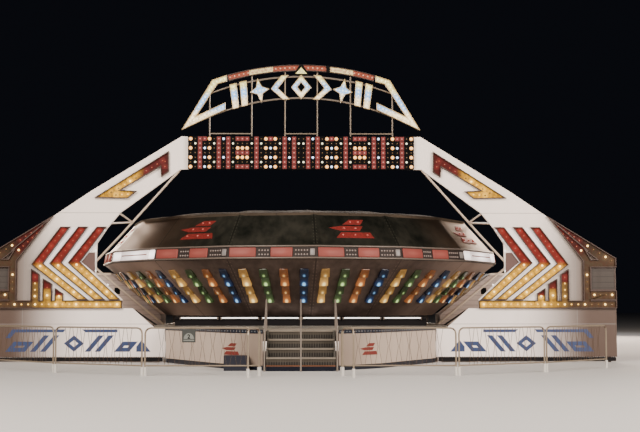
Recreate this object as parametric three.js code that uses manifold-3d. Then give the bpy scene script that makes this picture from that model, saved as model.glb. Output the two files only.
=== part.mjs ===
// Spinning drum fairground ride: a flying-saucer drum on a trailer, with a light-box front.
// Millimetres, +Z up. The origin is on the ground at the drum's axis, and the front faces -Y.
import * as THREE from 'three';
import { mergeVertices } from 'three/addons/utils/BufferGeometryUtils.js';
import Module from 'manifold-3d';

const wasm = await Module();
wasm.setup();

// Gap that touching pieces keep, and lap of shapes that are joined into one piece
const GAP = 0.3;
const LAP = 1;

// Reach of a cutting block past everything
const REACH = 12000;

// Drum: sixteen flat sides, its first panel joint turned a little off the front
const DRUM_SIDES = 16;
const DRUM_PHASE = THREE.MathUtils.degToRad(3.75);
const SIDE_ANGLE = (2 * Math.PI) / DRUM_SIDES;
const QUARTERS = 4;
const DRUM_FOOT = { radius: 4400, z: 1280 };
const KNUCKLE = { radius: 6400, z: 2870 };
const RIM_TOP = { radius: 6300, z: 3260 };
const EAVE = { radius: 5450, z: 4200 };
const WALL_THICK = 60;
const FLOOR_THICK = 60;
const RIM_BAND_THICK = 40;
const ROOF_APEX_Z = 4750;
const ROOF_THICK = 30;
const ROOF_OVERHANG = 25;
const TURNTABLE_RADIUS = 4200;
const TURNTABLE_THICK = 90;
const TURNTABLE_CLEARANCE = 40;
const BEARING_RADIUS = 750;
const HUB_RADIUS = 600;
const BEARING_TOP = 1180;

// Trailer bed and decks
const DECK_TOP = 1000;
const DECK_THICK = 60;
const BED = { halfLength: 7300, halfWidth: 1300, bottom: 450, top: DECK_TOP - DECK_THICK - GAP };
const LANDING_LEG = { x: 6600, y: 1000, size: 260 };
const CENTRE_PLINTH_SIZE = 900;
const BASE_DECK = { halfLength: 4350, halfWidth: 4400, frontCut: 580, rearCut: 1900 };
const DECK_CORNERS = [[3770, 5800], [2040, 8750], [930, 9850]];
const STAIR_NOTCH = { halfWidth: 930, back: 8750 };
const SKIRT_THICK = 40;
const SKIRT_BOTTOM = 120;
const SILL_SETBACK = 30;

// Row of lamp tubes on a low fascia at the back of the front deck
const LIGHT_BAR = { halfLength: 3660, y: -4480, depth: 40, top: 1250, tray: 60, trayDepth: 80 };

// Stair of four treads on a low plinth
const STAIR = { halfWidth: 850, front: -9950, going: 300, plinth: 110, rise: 215, treads: 4 };
const TREAD_THICK = 45;
const RISER_THICK = 20;
const STRINGER_THICK = 40;
const PLINTH_NOSE = 130;

// Handrails: one each side of the stair and one in the middle
const HANDRAIL = { x: 880, near: -10250, far: -8640, nearTop: 1000, farTop: 1720, midDrop: 450 };
const HANDRAIL_RADIUS = 22;
const MID_RAIL_RADIUS = 18;

// Crowd barriers, three bays on each side of the stair
const BARRIER = {
  length: 2600, height: 1100, corner: 130, bottomRail: 230, tube: 20, railTube: 16, wire: 5,
};
const SLEEVE = { radius: 35, height: 200, segments: 24 };
const WIRE_PITCH = 232;
const WIRE_SPREAD = 80;
const WIRE_WAIST = 12.5;
const WIRE_MARGIN = 150;
const BARRIER_START = [930, -11900];
const BARRIER_TURNS = [0, 31, 43];
const LOOP_LENGTH = 730;
const LOOP_TURN = -73;

// Front wings: flat panels in one plane ahead of the drum
const WING_FRONT = -5700;
const WING_THICK = 100;
const BOX_DEPTH = 90;
const WING_SEAM_Z = 4194;
const WING_FOOT_Z = 1507;
const WING_END_X = 8900;
const BOARD = { halfLength: 3190, bottom: 5433, top: 6360, depth: 190 };
const ARM_OUTLINE = [
  [BOARD.halfLength + GAP, BOARD.top], [3385, 6374], [5948, 4797], [6838, WING_SEAM_Z],
  [5102, WING_SEAM_Z], [3416, BOARD.bottom], [BOARD.halfLength + GAP, BOARD.bottom],
];
const BODY_OUTLINE = [
  [5102, WING_SEAM_Z - GAP], [6838, WING_SEAM_Z - GAP], [6963, 4109], [WING_END_X, 2925],
  [WING_END_X, WING_FOOT_Z], [5003, WING_FOOT_Z], [5012, 1752], [5757, 2457], [5735, 3330],
  [5449, 3768],
];
const ARROW_OUTLINE = [
  [3741, 5943], [5821, 4617], [4885, 4599], [4629, 4809],
  [5086, 4835], [3975, 5497], [3952, 5200], [3732, 5354],
];

// Three chevrons that point outward, from the inner one to the outer one
const CHEVRONS = {
  top: 3799, bottom: 1745, topWidth: 275, footWidth: 310, backing: 15, hollowRise: 25,
};
const BACKING = { edge: 20, pull: 80, bay: 100 };
const CHEVRON_TIPS = [
  { top: 5463, tip: 6537, hollow: 6190, tipZ: 2781, foot: 5050 },
  { top: 5982, tip: 7058, hollow: 6710, tipZ: 2760, foot: 5478 },
  { top: 6478, tip: 7556, hollow: 7221, tipZ: 2736, foot: 5946 },
];

// Lamp frame along the foot, the outer end and the outer slope of a wing
const LAMP_BAR = { inner: 5003, top: 1730 };
const SHORT_BARS = [
  { inner: 7325, outer: 7559, innerTop: 2466, outerTop: 2618 },
  { inner: 6973, outer: 7228, innerTop: 2200, outerTop: 2348 },
  { inner: 6652, outer: 6886, innerTop: 1925, outerTop: 2080 },
];
const END_STRIP = { inner: 8179, bottom: 1742, top: 2010 };
const END_WEDGE = [
  [6963, 4107], [WING_END_X, 2922], [WING_END_X, 2660], [8180, 2660],
  [8180, LAMP_BAR.top - LAP], [7968, LAMP_BAR.top - LAP], [7968, 2840],
];
const WEDGE_HOLE = [[8061, 3112], [8189, 2885], [8349, 2890]];

// Side skirts below the wings
const SIDE_SKIRT_TOP = 975;
const SIDE_SKIRT_OUTLINE = [
  [WING_END_X, 150], [3800, 150], [3800, SIDE_SKIRT_TOP], [4110, SIDE_SKIRT_TOP],
  [4720, WING_FOOT_Z - GAP], [WING_END_X, WING_FOOT_Z - GAP],
];
const SIDE_SKIRT_THICK = 50;
const SKIRT_POSTS = [3900, 5000, 6800, 8700];
const SKIRT_POST_SIZE = 90;
const SKIRT_RAIL = { inner: 3850, outer: 8880, bottom: 50, top: 125, half: 20 };

// Arched sign over the board, drawn about one centre below
const SIGN_CENTRE_Z = 950;
const SIGN_BACK = WING_FRONT - GAP;
const CROWN = { outer: 7474, inner: 7305, halfAngle: 0.286 };
const ROW = { outer: 7187, inner: 6490, pitch: 0.087, each: 3 };
const ROW_FILL = 0.47;
const ROW_STROKE = 0.7;
const ROW_STRIP = { width: 40, thick: 20, inset: 20 };
const SIGN_TUBE = 20;
const SIGN_UPRIGHTS = [460, 1404, 2600];
const SIGN_UPRIGHT_LAP = 40;
const SIGN_LOW_RAIL_Z = 6454;
const ARC_HALF_ANGLES = { upper: 0.375, lower: 0.44 };
const FIN_OUTLINE = [
  [2120, 8118], [2527, 7980], [3383, 6550], [2150, 7135], [2150, 7335], [2977, 6943], [2383, 7872],
  [2110, 7948],
];

// Pole frames in the plane of the drum's axis
const POLE_RADIUS = 38;
const POLE_ROUTE = [[3500, 6673], [5945, 3917], [6849, 2941], [6717, 2775], [4200, 705]];
const TOP_BEAM = { halfLength: 3760, halfDepth: 60, bottom: 6300, top: 6460 };
const STRUT_RADIUS = 28;
const STRUT_NODE = [5579, 4330];
const STRUT_ENDS = [[5400, 3900], [5230, 4260]];

// Ribbed housings at the ends of the trailer bed
const HOUSING = { front: 60, back: 1290, outer: 7280, top: 2660, clearance: 200 };

// Low box on the ground beside the stair
const POWER_BOX = { inner: 1300, outer: 1880, front: -9933.8, back: -9483.8, height: 370 };

// Finishes
const finish = (color, roughness, metalness) => ({ color, roughness, metalness });
const CREAM_TUBE = finish(0xd8c9b0, 0.4, 0.2);
const DRUM_SKIN = finish(0x7d7468, 0.35, 0.8);
const CANVAS = finish(0xa8906f, 0.85, 0.0);
const DARK_STEEL = finish(0x2c2a2a, 0.5, 0.6);
const TREAD_PLATE = finish(0x8f887c, 0.4, 0.8);
const WHITE_PAINT = finish(0xeae4da, 0.5, 0.0);
const RED_LIGHT = finish(0xb03024, 0.4, 0.0);
const GOLD_LIGHT = finish(0xd9a441, 0.4, 0.0);
const LAMP_WHITE = finish(0xf6efe2, 0.3, 0.0);
const BOARD_BLACK = finish(0x14110f, 0.6, 0.1);
const GREY_BOARDING = finish(0x9a948c, 0.6, 0.0);
const NAVY_PAINT = finish(0x1b2033, 0.5, 0.1);

const ride = new THREE.Group();

function add(name, geometry, look) {
  const mesh = new THREE.Mesh(geometry, new THREE.MeshStandardMaterial(look));
  mesh.name = name;
  ride.add(mesh);
}

// Closed body from vertices and faces, its faces turned outward
function closedBody(vertices, faces) {
  const volume = faces.reduce((sum, [a, b, c]) => {
    const cross = new THREE.Vector3().crossVectors(vertices[b], vertices[c]);
    return sum + vertices[a].dot(cross);
  }, 0);
  const turned = volume < 0 ? faces.map(([a, b, c]) => [a, c, b]) : faces;
  const geometry = new THREE.BufferGeometry().setFromPoints(vertices);
  geometry.setIndex(turned.flat());
  geometry.computeVertexNormals();
  return geometry;
}

function toSolid(geometry) {
  const bare = geometry.clone();
  bare.deleteAttribute('normal');
  bare.deleteAttribute('uv');
  const merged = mergeVertices(bare);
  const vertProperties = new Float32Array(merged.attributes.position.array);
  const triVerts = new Uint32Array(merged.index.array);
  return new wasm.Manifold(new wasm.Mesh({ numProp: 3, vertProperties, triVerts }));
}

function fromSolid(solid) {
  const { vertProperties, triVerts } = solid.getMesh();
  const geometry = new THREE.BufferGeometry();
  geometry.setAttribute('position', new THREE.BufferAttribute(vertProperties, 3));
  geometry.setIndex(new THREE.BufferAttribute(triVerts, 1));
  geometry.computeVertexNormals();
  return geometry;
}

function join(geometries) {
  return fromSolid(geometries.map(toSolid).reduce((whole, piece) => whole.add(piece)));
}

function cut(geometry, tools) {
  return fromSolid(tools.map(toSolid).reduce((rest, tool) => rest.subtract(tool), toSolid(geometry)));
}

function block(x0, x1, y0, y1, z0, z1) {
  const geometry = new THREE.BoxGeometry(Math.abs(x1 - x0), Math.abs(y1 - y0), Math.abs(z1 - z0));
  return geometry.translate((x0 + x1) / 2, (y0 + y1) / 2, (z0 + z1) / 2);
}

function outline(points) {
  return new THREE.Shape(points.map(([u, v]) => new THREE.Vector2(u, v)));
}

function extrude(shape, depth) {
  return new THREE.ExtrudeGeometry(shape, { depth, bevelEnabled: false, curveSegments: 10 });
}

// Upright plate drawn in X and Z, between two depths
function plate(shape, y0, y1) {
  return extrude(shape, y1 - y0).rotateX(Math.PI / 2).translate(0, y1, 0);
}

// Level slab drawn in X and Y, between two heights
function slab(points, z0, z1) {
  return extrude(outline(points), z1 - z0).translate(0, 0, z0);
}

// Upright plate drawn in Y and Z, between two X positions
function sidePlate(points, x0, x1) {
  const turn = new THREE.Matrix4().makeBasis(
    new THREE.Vector3(0, 1, 0), new THREE.Vector3(0, 0, 1), new THREE.Vector3(1, 0, 0));
  return extrude(outline(points), x1 - x0).applyMatrix4(turn).translate(x0, 0, 0);
}

// Tube along points that all lie in one plane, mitred where it bends
function planarTube(points, normal, radius, sides) {
  const rings = points.map((point, i) => {
    const before = point.clone().sub(points[Math.max(i - 1, 0)]);
    const after = points[Math.min(i + 1, points.length - 1)].clone().sub(point);
    const inward = (before.length() > 0 ? before : after).clone().normalize();
    const outward = (after.length() > 0 ? after : before).clone().normalize();
    const along = inward.clone().add(outward).normalize();
    const across = normal.clone().cross(along);
    const mitre = 1 / along.dot(inward);
    return Array.from({ length: sides }, (_, k) => {
      const angle = ((k + 0.5) * 2 * Math.PI) / sides;
      return point.clone()
        .addScaledVector(normal, radius * Math.cos(angle))
        .addScaledVector(across, radius * mitre * Math.sin(angle));
    });
  });
  return stitch(rings);
}

// Closed body through a row of outlines with as many points each, its ends capped
function stitch(rings, ring = false) {
  const count = rings[0].length;
  const faces = [];
  const spans = ring ? rings.length : rings.length - 1;
  for (let i = 0; i < spans; i += 1) {
    const here = i * count;
    const next = ((i + 1) % rings.length) * count;
    for (let j = 0; j < count; j += 1) {
      const k = (j + 1) % count;
      faces.push([here + j, next + j, next + k], [here + j, next + k, here + k]);
    }
  }
  if (!ring) {
    const last = (rings.length - 1) * count;
    for (let j = 1; j < count - 1; j += 1) {
      faces.push([0, j, j + 1], [last, last + j + 1, last + j]);
    }
  }
  return closedBody(rings.flat(), faces);
}

function pointAt(radius, angle, z) {
  return new THREE.Vector3(radius * Math.sin(angle), -radius * Math.cos(angle), z);
}

// Convex or nearly convex profile of radius and height, swept round the axis by its angles
function roundWall(profile, angles, ring = false) {
  return stitch(angles.map((angle) => profile.map(([radius, z]) => pointAt(radius, angle, z))), ring);
}

function cylinder(radius, z0, z1, segments) {
  const geometry = new THREE.CylinderGeometry(radius, radius, z1 - z0, segments);
  return geometry.rotateX(Math.PI / 2).translate(0, 0, (z0 + z1) / 2);
}

// Straight round bar between two points
function bar(from, to, radius, sides) {
  const along = to.clone().sub(from);
  const geometry = new THREE.CylinderGeometry(radius, radius, along.length(), sides);
  const turn = new THREE.Quaternion().setFromUnitVectors(
    new THREE.Vector3(0, 1, 0), along.clone().normalize());
  const middle = from.clone().add(to).multiplyScalar(0.5);
  return geometry.applyQuaternion(turn).translate(middle.x, middle.y, middle.z);
}

function mirrored(points, side) {
  return points.map(([x, z]) => [side * x, z]);
}

const SIDES = [['left', -1], ['right', 1]];

// Drum floor, hub and turntable ring
function drumBase() {
  const slope = (KNUCKLE.radius - DRUM_FOOT.radius) / (KNUCKLE.z - DRUM_FOOT.z);
  const wallAcross = WALL_THICK * Math.hypot(1, slope);
  const floorRadius = DRUM_FOOT.radius - wallAcross - GAP;
  const corners = Array.from({ length: DRUM_SIDES }, (_, k) => {
    const corner = pointAt(floorRadius, DRUM_PHASE + k * SIDE_ANGLE, 0);
    return [corner.x, corner.y];
  });
  add('drum_floor', slab(corners, DRUM_FOOT.z, DRUM_FOOT.z + FLOOR_THICK), TREAD_PLATE);
  add('drum_hub', cylinder(HUB_RADIUS, BEARING_TOP + GAP, DRUM_FOOT.z - GAP, 32), DARK_STEEL);
  const ringProfile = [
    [TURNTABLE_RADIUS - TURNTABLE_THICK, DECK_TOP + TURNTABLE_CLEARANCE],
    [TURNTABLE_RADIUS, DECK_TOP + TURNTABLE_CLEARANCE],
    [TURNTABLE_RADIUS, DRUM_FOOT.z - GAP],
    [TURNTABLE_RADIUS - TURNTABLE_THICK, DRUM_FOOT.z - GAP],
  ];
  const ringAngles = Array.from({ length: 2 * DRUM_SIDES }, (_, k) => (k * SIDE_ANGLE) / 2);
  add('turntable_ring', roundWall(ringProfile, ringAngles, true), DARK_STEEL);
}

// Corner angles of one quarter of the drum, drawn in by half a gap at both ends
function quarterAngles(quarter) {
  const panels = DRUM_SIDES / QUARTERS;
  const first = DRUM_PHASE + quarter * panels * SIDE_ANGLE;
  const inset = GAP / 2 / DRUM_FOOT.radius;
  return Array.from({ length: panels + 1 }, (_, k) => {
    const shift = k === 0 ? inset : k === panels ? -inset : 0;
    return first + k * SIDE_ANGLE + shift;
  });
}

// Drum walls: leaning out below the rim and in above it
function drumWalls() {
  const lowerSlope = (KNUCKLE.radius - DRUM_FOOT.radius) / (KNUCKLE.z - DRUM_FOOT.z);
  const lowerAcross = WALL_THICK * Math.hypot(1, lowerSlope);
  const lowerProfile = [
    [DRUM_FOOT.radius, DRUM_FOOT.z],
    [KNUCKLE.radius, KNUCKLE.z],
    [KNUCKLE.radius - lowerAcross, KNUCKLE.z],
    [DRUM_FOOT.radius - lowerAcross, DRUM_FOOT.z],
  ];
  const upperSlope = (RIM_TOP.radius - EAVE.radius) / (EAVE.z - RIM_TOP.z);
  const upperAcross = WALL_THICK * Math.hypot(1, upperSlope);
  const upperProfile = [
    [RIM_TOP.radius, KNUCKLE.z + GAP],
    [RIM_TOP.radius, RIM_TOP.z],
    [EAVE.radius, EAVE.z],
    [EAVE.radius - upperAcross, EAVE.z],
    [RIM_TOP.radius - upperAcross, RIM_TOP.z],
    [RIM_TOP.radius - upperAcross, KNUCKLE.z + GAP],
  ];
  for (let quarter = 0; quarter < QUARTERS; quarter += 1) {
    const angles = quarterAngles(quarter);
    add(`lower_wall_${quarter + 1}`, roundWall(lowerProfile, angles), DRUM_SKIN);
    add(`upper_wall_${quarter + 1}`, upperWallQuarter(upperProfile, angles), DRUM_SKIN);
  }
}

// The upper wall's profile bends inward, so its lower upright part and its slope are joined
function upperWallQuarter(profile, angles) {
  const [foot, knee, eave, eaveInner, kneeInner, footInner] = profile;
  const upright = roundWall([foot, knee, kneeInner, footInner], angles);
  const slope = roundWall([knee, eave, eaveInner, kneeInner], angles);
  return join([upright, slope]);
}

// Light band round the rim, seated on the knuckle ledge
function rimBand() {
  const inner = RIM_TOP.radius + GAP;
  const profile = [
    [inner, KNUCKLE.z + GAP],
    [KNUCKLE.radius + RIM_BAND_THICK / 2, KNUCKLE.z + GAP],
    [inner + RIM_BAND_THICK, RIM_TOP.z],
    [inner, RIM_TOP.z],
  ];
  const angles = Array.from({ length: DRUM_SIDES }, (_, k) => DRUM_PHASE + k * SIDE_ANGLE);
  add('rim_light_band', roundWall(profile, angles, true), RED_LIGHT);
}

// Canvas roof: a shallow cone laid on the tops of the upper walls
function drumRoof() {
  const edge = EAVE.radius + ROOF_OVERHANG;
  const profile = [
    [0, ROOF_APEX_Z - ROOF_THICK],
    [EAVE.radius - 2 * WALL_THICK, EAVE.z + GAP],
    [edge, EAVE.z + GAP],
    [edge, EAVE.z + ROOF_THICK],
    [0, ROOF_APEX_Z],
  ];
  const points = profile.map(([radius, z]) => new THREE.Vector2(radius, z));
  const cone = new THREE.LatheGeometry(points, 2 * DRUM_SIDES).rotateX(Math.PI / 2);
  add('drum_roof', cone, CANVAS);
}

// Trailer bed with its landing legs and centre plinth, the deck over it and the drum's bearing
function trailer() {
  const bed = block(-BED.halfLength, BED.halfLength, -BED.halfWidth, BED.halfWidth, BED.bottom, BED.top);
  const half = LANDING_LEG.size / 2;
  const legs = [-1, 1].flatMap((sx) => [-1, 1].map((sy) => {
    const x = sx * LANDING_LEG.x;
    const y = sy * LANDING_LEG.y;
    return block(x - half, x + half, y - half, y + half, 0, BED.bottom + half);
  }));
  const reach = CENTRE_PLINTH_SIZE / 2;
  const plinth = block(-reach, reach, -reach, reach, 0, BED.bottom + half);
  add('trailer_bed', join([bed, plinth, ...legs]), DARK_STEEL);
  const { halfLength, halfWidth, frontCut, rearCut } = BASE_DECK;
  const right = [
    [halfLength - frontCut, -halfWidth], [halfLength, -halfWidth + frontCut],
    [halfLength, halfWidth - rearCut], [halfLength - rearCut, halfWidth],
  ];
  const edge = [...right, ...mirrored(right, -1).reverse()];
  add('base_deck', slab(edge, DECK_TOP - DECK_THICK, DECK_TOP), TREAD_PLATE);
  add('centre_bearing', cylinder(BEARING_RADIUS, DECK_TOP + GAP, BEARING_TOP, 32), DARK_STEEL);
}

// Front deck, bulging forward round the stair notch
function frontDeck() {
  const back = BASE_DECK.halfWidth + GAP;
  const right = [[DECK_CORNERS[0][0], back], ...DECK_CORNERS, [STAIR_NOTCH.halfWidth, STAIR_NOTCH.back]];
  const left = mirrored(right, -1).reverse();
  const points = [...right, ...left].map(([x, forward]) => [x, -forward]);
  add('front_deck', slab(points, DECK_TOP - DECK_THICK, DECK_TOP), TREAD_PLATE);
}

// Upright panel along a plan line, its front face set back from the line
function panelAlong(from, to, setback, thick, z0, z1) {
  const along = new THREE.Vector2(to[0] - from[0], to[1] - from[1]).normalize();
  const inward = new THREE.Vector2(-along.y, along.x);
  const towardAxis = inward.dot(new THREE.Vector2(-from[0], -from[1])) > 0 ? 1 : -1;
  inward.multiplyScalar(towardAxis);
  const at = (point, depth) => [point[0] + inward.x * depth, point[1] + inward.y * depth];
  const far = setback + thick;
  return slab([at(from, setback), at(to, setback), at(to, far), at(from, far)], z0, z1);
}

// Skirt panels under the deck's edge, on a sill that stands on the ground
function deckSkirts() {
  const top = DECK_TOP - DECK_THICK - GAP;
  for (const [label, side] of SIDES) {
    const corners = DECK_CORNERS.map(([x, forward]) => [side * x, -forward]);
    const panels = [];
    for (let i = 0; i < corners.length - 1; i += 1) {
      const [from, to] = [corners[i], corners[i + 1]];
      panels.push(panelAlong(from, to, 0, SKIRT_THICK, SKIRT_BOTTOM, top));
      panels.push(panelAlong(from, to, SILL_SETBACK, SKIRT_THICK, 0, top));
    }
    const { halfWidth, back } = STAIR_NOTCH;
    const notch = block(-halfWidth, halfWidth, -REACH, -back, -LAP, DECK_TOP);
    add(`deck_skirt_${label}`, cut(join(panels), [notch]), WHITE_PAINT);
  }
}

// Side skirts below the wings, with posts behind them and a rail near the ground
function sideSkirts() {
  for (const [label, side] of SIDES) {
    const back = WING_FRONT + SIDE_SKIRT_THICK;
    const panel = plate(outline(mirrored(SIDE_SKIRT_OUTLINE, side)), WING_FRONT, back);
    const posts = SKIRT_POSTS.map((x, i) => {
      const top = i === 0 ? SIDE_SKIRT_TOP : WING_FOOT_Z - GAP;
      const reach = SKIRT_POST_SIZE / 2;
      return block(side * x - reach, side * x + reach, back - LAP, back + SKIRT_POST_SIZE, 0, top);
    });
    const { inner, outer, bottom, top, half } = SKIRT_RAIL;
    const rail = block(side * inner, side * outer, back - half, back + half, bottom, top);
    add(`side_skirt_${label}`, join([panel, rail, ...posts]), WHITE_PAINT);
  }
}

// Fascia with a tray of lamp tubes at the back of the front deck
function lightBar() {
  const { halfLength, y, depth, top, tray, trayDepth } = LIGHT_BAR;
  const fascia = block(-halfLength, halfLength, y, y + depth, DECK_TOP + GAP, top);
  const trayBox = block(-halfLength, halfLength, y - trayDepth / 2, y + depth, top - tray, top);
  add('tube_light_bar', join([fascia, trayBox]), LAMP_WHITE);
}

// Stair flight: plinth, stringers, treads and risers
function stairFlight() {
  const { halfWidth, front, going, plinth, rise, treads } = STAIR;
  const back = front + treads * going - GAP;
  const top = (k) => plinth + rise * (k + 1);
  const pieces = [block(-halfWidth, halfWidth, front - PLINTH_NOSE, back, 0, plinth + LAP)];
  for (let k = 0; k < treads; k += 1) {
    const nose = front + k * going;
    const treadBack = k === treads - 1 ? back : nose + going + RISER_THICK;
    pieces.push(block(-halfWidth, halfWidth, nose, treadBack, top(k) - TREAD_THICK, top(k)));
    pieces.push(block(-halfWidth, halfWidth, nose + RISER_THICK, nose + 2 * RISER_THICK,
      k === 0 ? plinth : top(k - 1) - TREAD_THICK, top(k)));
  }
  const profile = [[front + RISER_THICK, plinth], [back, plinth], [back, top(treads - 1)]];
  profile.push([front + (treads - 1) * going, top(treads - 1)], [front + RISER_THICK, top(0)]);
  for (const x of [-halfWidth, halfWidth - STRINGER_THICK]) {
    pieces.push(sidePlate(profile, x, x + STRINGER_THICK));
  }
  add('stair_flight', join(pieces), TREAD_PLATE);
}

// Handrails: a newel on the ground, a post on the deck, and two sloping rails
function handrails() {
  const { x: spread, near, far, nearTop, farTop, midDrop } = HANDRAIL;
  const normal = new THREE.Vector3(1, 0, 0);
  const places = [['left', -spread], ['middle', 0], ['right', spread]];
  for (const [label, x] of places) {
    const at = (y, z) => new THREE.Vector3(x, y, z);
    const hoop = [at(near, 0), at(near, nearTop), at(far, farTop), at(far, DECK_TOP + GAP)];
    const frame = planarTube(hoop, normal, HANDRAIL_RADIUS, 8);
    const rail = planarTube([at(near, nearTop - midDrop), at(far, farTop - midDrop)],
      normal, MID_RAIL_RADIUS, 8);
    add(`handrail_${label}`, join([frame, rail]), CREAM_TUBE);
  }
}

// Points of a rounded inverted U, in a frame where u runs along it and v is up
function archPoints(length, height, corner, foot) {
  const points = [[0, foot]];
  for (let k = 0; k <= 3; k += 1) {
    const angle = (k * Math.PI) / 6;
    points.push([corner - corner * Math.cos(angle), height - corner + corner * Math.sin(angle)]);
  }
  const far = points.map(([u, v]) => [length - u, v]).reverse();
  return [...points, ...far];
}

// One barrier bay along a plan line: hoop, bottom rail, bent wires, and sleeves on its feet
function barrierBay(start, turn, length, wired) {
  const { height, corner, bottomRail, tube, railTube, wire } = BARRIER;
  const along = new THREE.Vector3(Math.cos(turn), Math.sin(turn), 0);
  const normal = new THREE.Vector3(-Math.sin(turn), Math.cos(turn), 0);
  const at = ([u, v]) => new THREE.Vector3(start[0], start[1], v).addScaledVector(along, u);
  const pieces = [planarTube(archPoints(length, height - tube, corner, 0).map(at), normal, tube, 8)];
  if (wired) {
    pieces.push(planarTube([at([0, bottomRail]), at([length, bottomRail])], normal, railTube, 6));
    const middle = (height + bottomRail) / 2;
    const pairs = Math.floor((length - 2 * WIRE_MARGIN) / WIRE_PITCH);
    const first = (length - (pairs - 1) * WIRE_PITCH) / 2;
    for (let k = 0; k < pairs; k += 1) {
      for (const hand of [-1, 1]) {
        const centre = first + k * WIRE_PITCH;
        const route = [
          [centre + hand * WIRE_SPREAD, height - tube],
          [centre + hand * WIRE_WAIST, middle],
          [centre + hand * WIRE_SPREAD, bottomRail],
        ];
        pieces.push(planarTube(route.map(at), normal, wire, 4));
      }
    }
  }
  for (const u of [0, length]) {
    const foot = at([u, 0]);
    pieces.push(bar(foot, at([u, SLEEVE.height]), SLEEVE.radius, SLEEVE.segments));
  }
  return join(pieces);
}

// Three bays each side that turn back toward the wings, and a short loop at the entrance
function barriers() {
  const postStep = 2 * SLEEVE.radius + GAP;
  for (const [label, side] of SIDES) {
    const heading = (turn) => (side > 0 ? turn : Math.PI - turn);
    const loopTurn = THREE.MathUtils.degToRad(LOOP_TURN);
    let [x, y] = BARRIER_START;
    const loopStart = [side * (x + postStep * Math.cos(loopTurn)), y + postStep * Math.sin(loopTurn)];
    add(`queue_loop_${label}`, barrierBay(loopStart, heading(loopTurn), LOOP_LENGTH, false), CREAM_TUBE);
    BARRIER_TURNS.forEach((degrees, k) => {
      const turn = THREE.MathUtils.degToRad(degrees);
      const bay = barrierBay([side * x, y], heading(turn), BARRIER.length, true);
      add(`queue_barrier_${label}_${k + 1}`, bay, CREAM_TUBE);
      x += (BARRIER.length + postStep) * Math.cos(turn);
      y += (BARRIER.length + postStep) * Math.sin(turn);
    });
  }
}

// Wing panels
function wings() {
  const back = WING_FRONT + WING_THICK;
  for (const [label, side] of SIDES) {
    add(`wing_arm_${label}`, plate(outline(mirrored(ARM_OUTLINE, side)), WING_FRONT, back), WHITE_PAINT);
    add(`wing_body_${label}`, plate(outline(mirrored(BODY_OUTLINE, side)), WING_FRONT, back), WHITE_PAINT);
  }
}

// Light box on a wing's front face
function lightBox(points, side, depth = BOX_DEPTH) {
  const back = WING_FRONT - GAP;
  return plate(outline(mirrored(points, side)), back - depth, back);
}

function chevronOutline({ top, tip, hollow, tipZ, foot }) {
  return [
    [top, CHEVRONS.top], [top + CHEVRONS.topWidth, CHEVRONS.top], [tip, tipZ],
    [foot + CHEVRONS.footWidth, CHEVRONS.bottom], [foot, CHEVRONS.bottom],
    [hollow, tipZ + CHEVRONS.hollowRise],
  ];
}

// Thin backing sheet that carries the three chevrons, drawn a little inside their ends
function chevronBacking() {
  const [inner, , outer] = CHEVRON_TIPS;
  const { edge, pull } = BACKING;
  const top = CHEVRONS.top - edge;
  const bottom = CHEVRONS.bottom + edge;
  return [
    [inner.top + edge, top], [outer.top + CHEVRONS.topWidth - edge, top], [outer.tip - edge, outer.tipZ],
    [outer.foot + CHEVRONS.footWidth - pull, bottom], [inner.foot + pull, bottom],
    [inner.hollow - BACKING.bay, inner.tipZ],
  ];
}

function lampFrame(side) {
  const pieces = [lightBox([
    [LAMP_BAR.inner, WING_FOOT_Z], [WING_END_X, WING_FOOT_Z],
    [WING_END_X, LAMP_BAR.top], [LAMP_BAR.inner, LAMP_BAR.top],
  ], side)];
  for (const { inner, outer, innerTop, outerTop } of SHORT_BARS) {
    const foot = LAMP_BAR.top - LAP;
    pieces.push(lightBox([[inner, foot], [outer, foot], [outer, outerTop], [inner, innerTop]], side));
  }
  const { inner, bottom, top } = END_STRIP;
  pieces.push(lightBox([[inner, bottom], [WING_END_X, bottom], [WING_END_X, top], [inner, top]], side));
  const back = WING_FRONT - GAP;
  const wedge = outline(mirrored(END_WEDGE, side));
  wedge.holes.push(outline(mirrored(WEDGE_HOLE, side)));
  pieces.push(plate(wedge, back - BOX_DEPTH, back));
  return join(pieces);
}

// Light boxes of each wing: the arrow, the chevrons and the lamp frame
function wingLights() {
  for (const [label, side] of SIDES) {
    add(`arrow_box_${label}`, lightBox(ARROW_OUTLINE, side), RED_LIGHT);
    const chevrons = CHEVRON_TIPS.map((chevron) => lightBox(chevronOutline(chevron), side));
    const backing = lightBox(chevronBacking(), side, CHEVRONS.backing);
    add(`chevron_boxes_${label}`, join([backing, ...chevrons]), RED_LIGHT);
    add(`wing_lamp_frame_${label}`, lampFrame(side), GOLD_LIGHT);
  }
}

// Long board of bulbs between the wings
function bulbBoard() {
  const { halfLength, bottom, top, depth } = BOARD;
  const back = WING_FRONT + WING_THICK;
  add('bulb_board', block(-halfLength, halfLength, back - depth, back, bottom, top), BOARD_BLACK);
}

// Point of the sign at a radius and an angle from straight up
function signPoint(radius, angle) {
  return [radius * Math.sin(angle), SIGN_CENTRE_Z + radius * Math.cos(angle)];
}

function arcStrip(outer, inner, halfAngle) {
  const shape = new THREE.Shape();
  const up = Math.PI / 2;
  shape.absarc(0, SIGN_CENTRE_Z, outer, up - halfAngle, up + halfAngle, false);
  shape.absarc(0, SIGN_CENTRE_Z, inner, up + halfAngle, up - halfAngle, true);
  return shape;
}

// Closed outline scaled about its middle and run the other way, as the hole of a hollow shape
function shrunk(points, share) {
  const middle = [0, 1].map((i) => points.reduce((sum, point) => sum + point[i], 0) / points.length);
  const inner = points.map((point) => point.map((value, i) => middle[i] + (value - middle[i]) * share));
  return inner.reverse();
}

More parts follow.
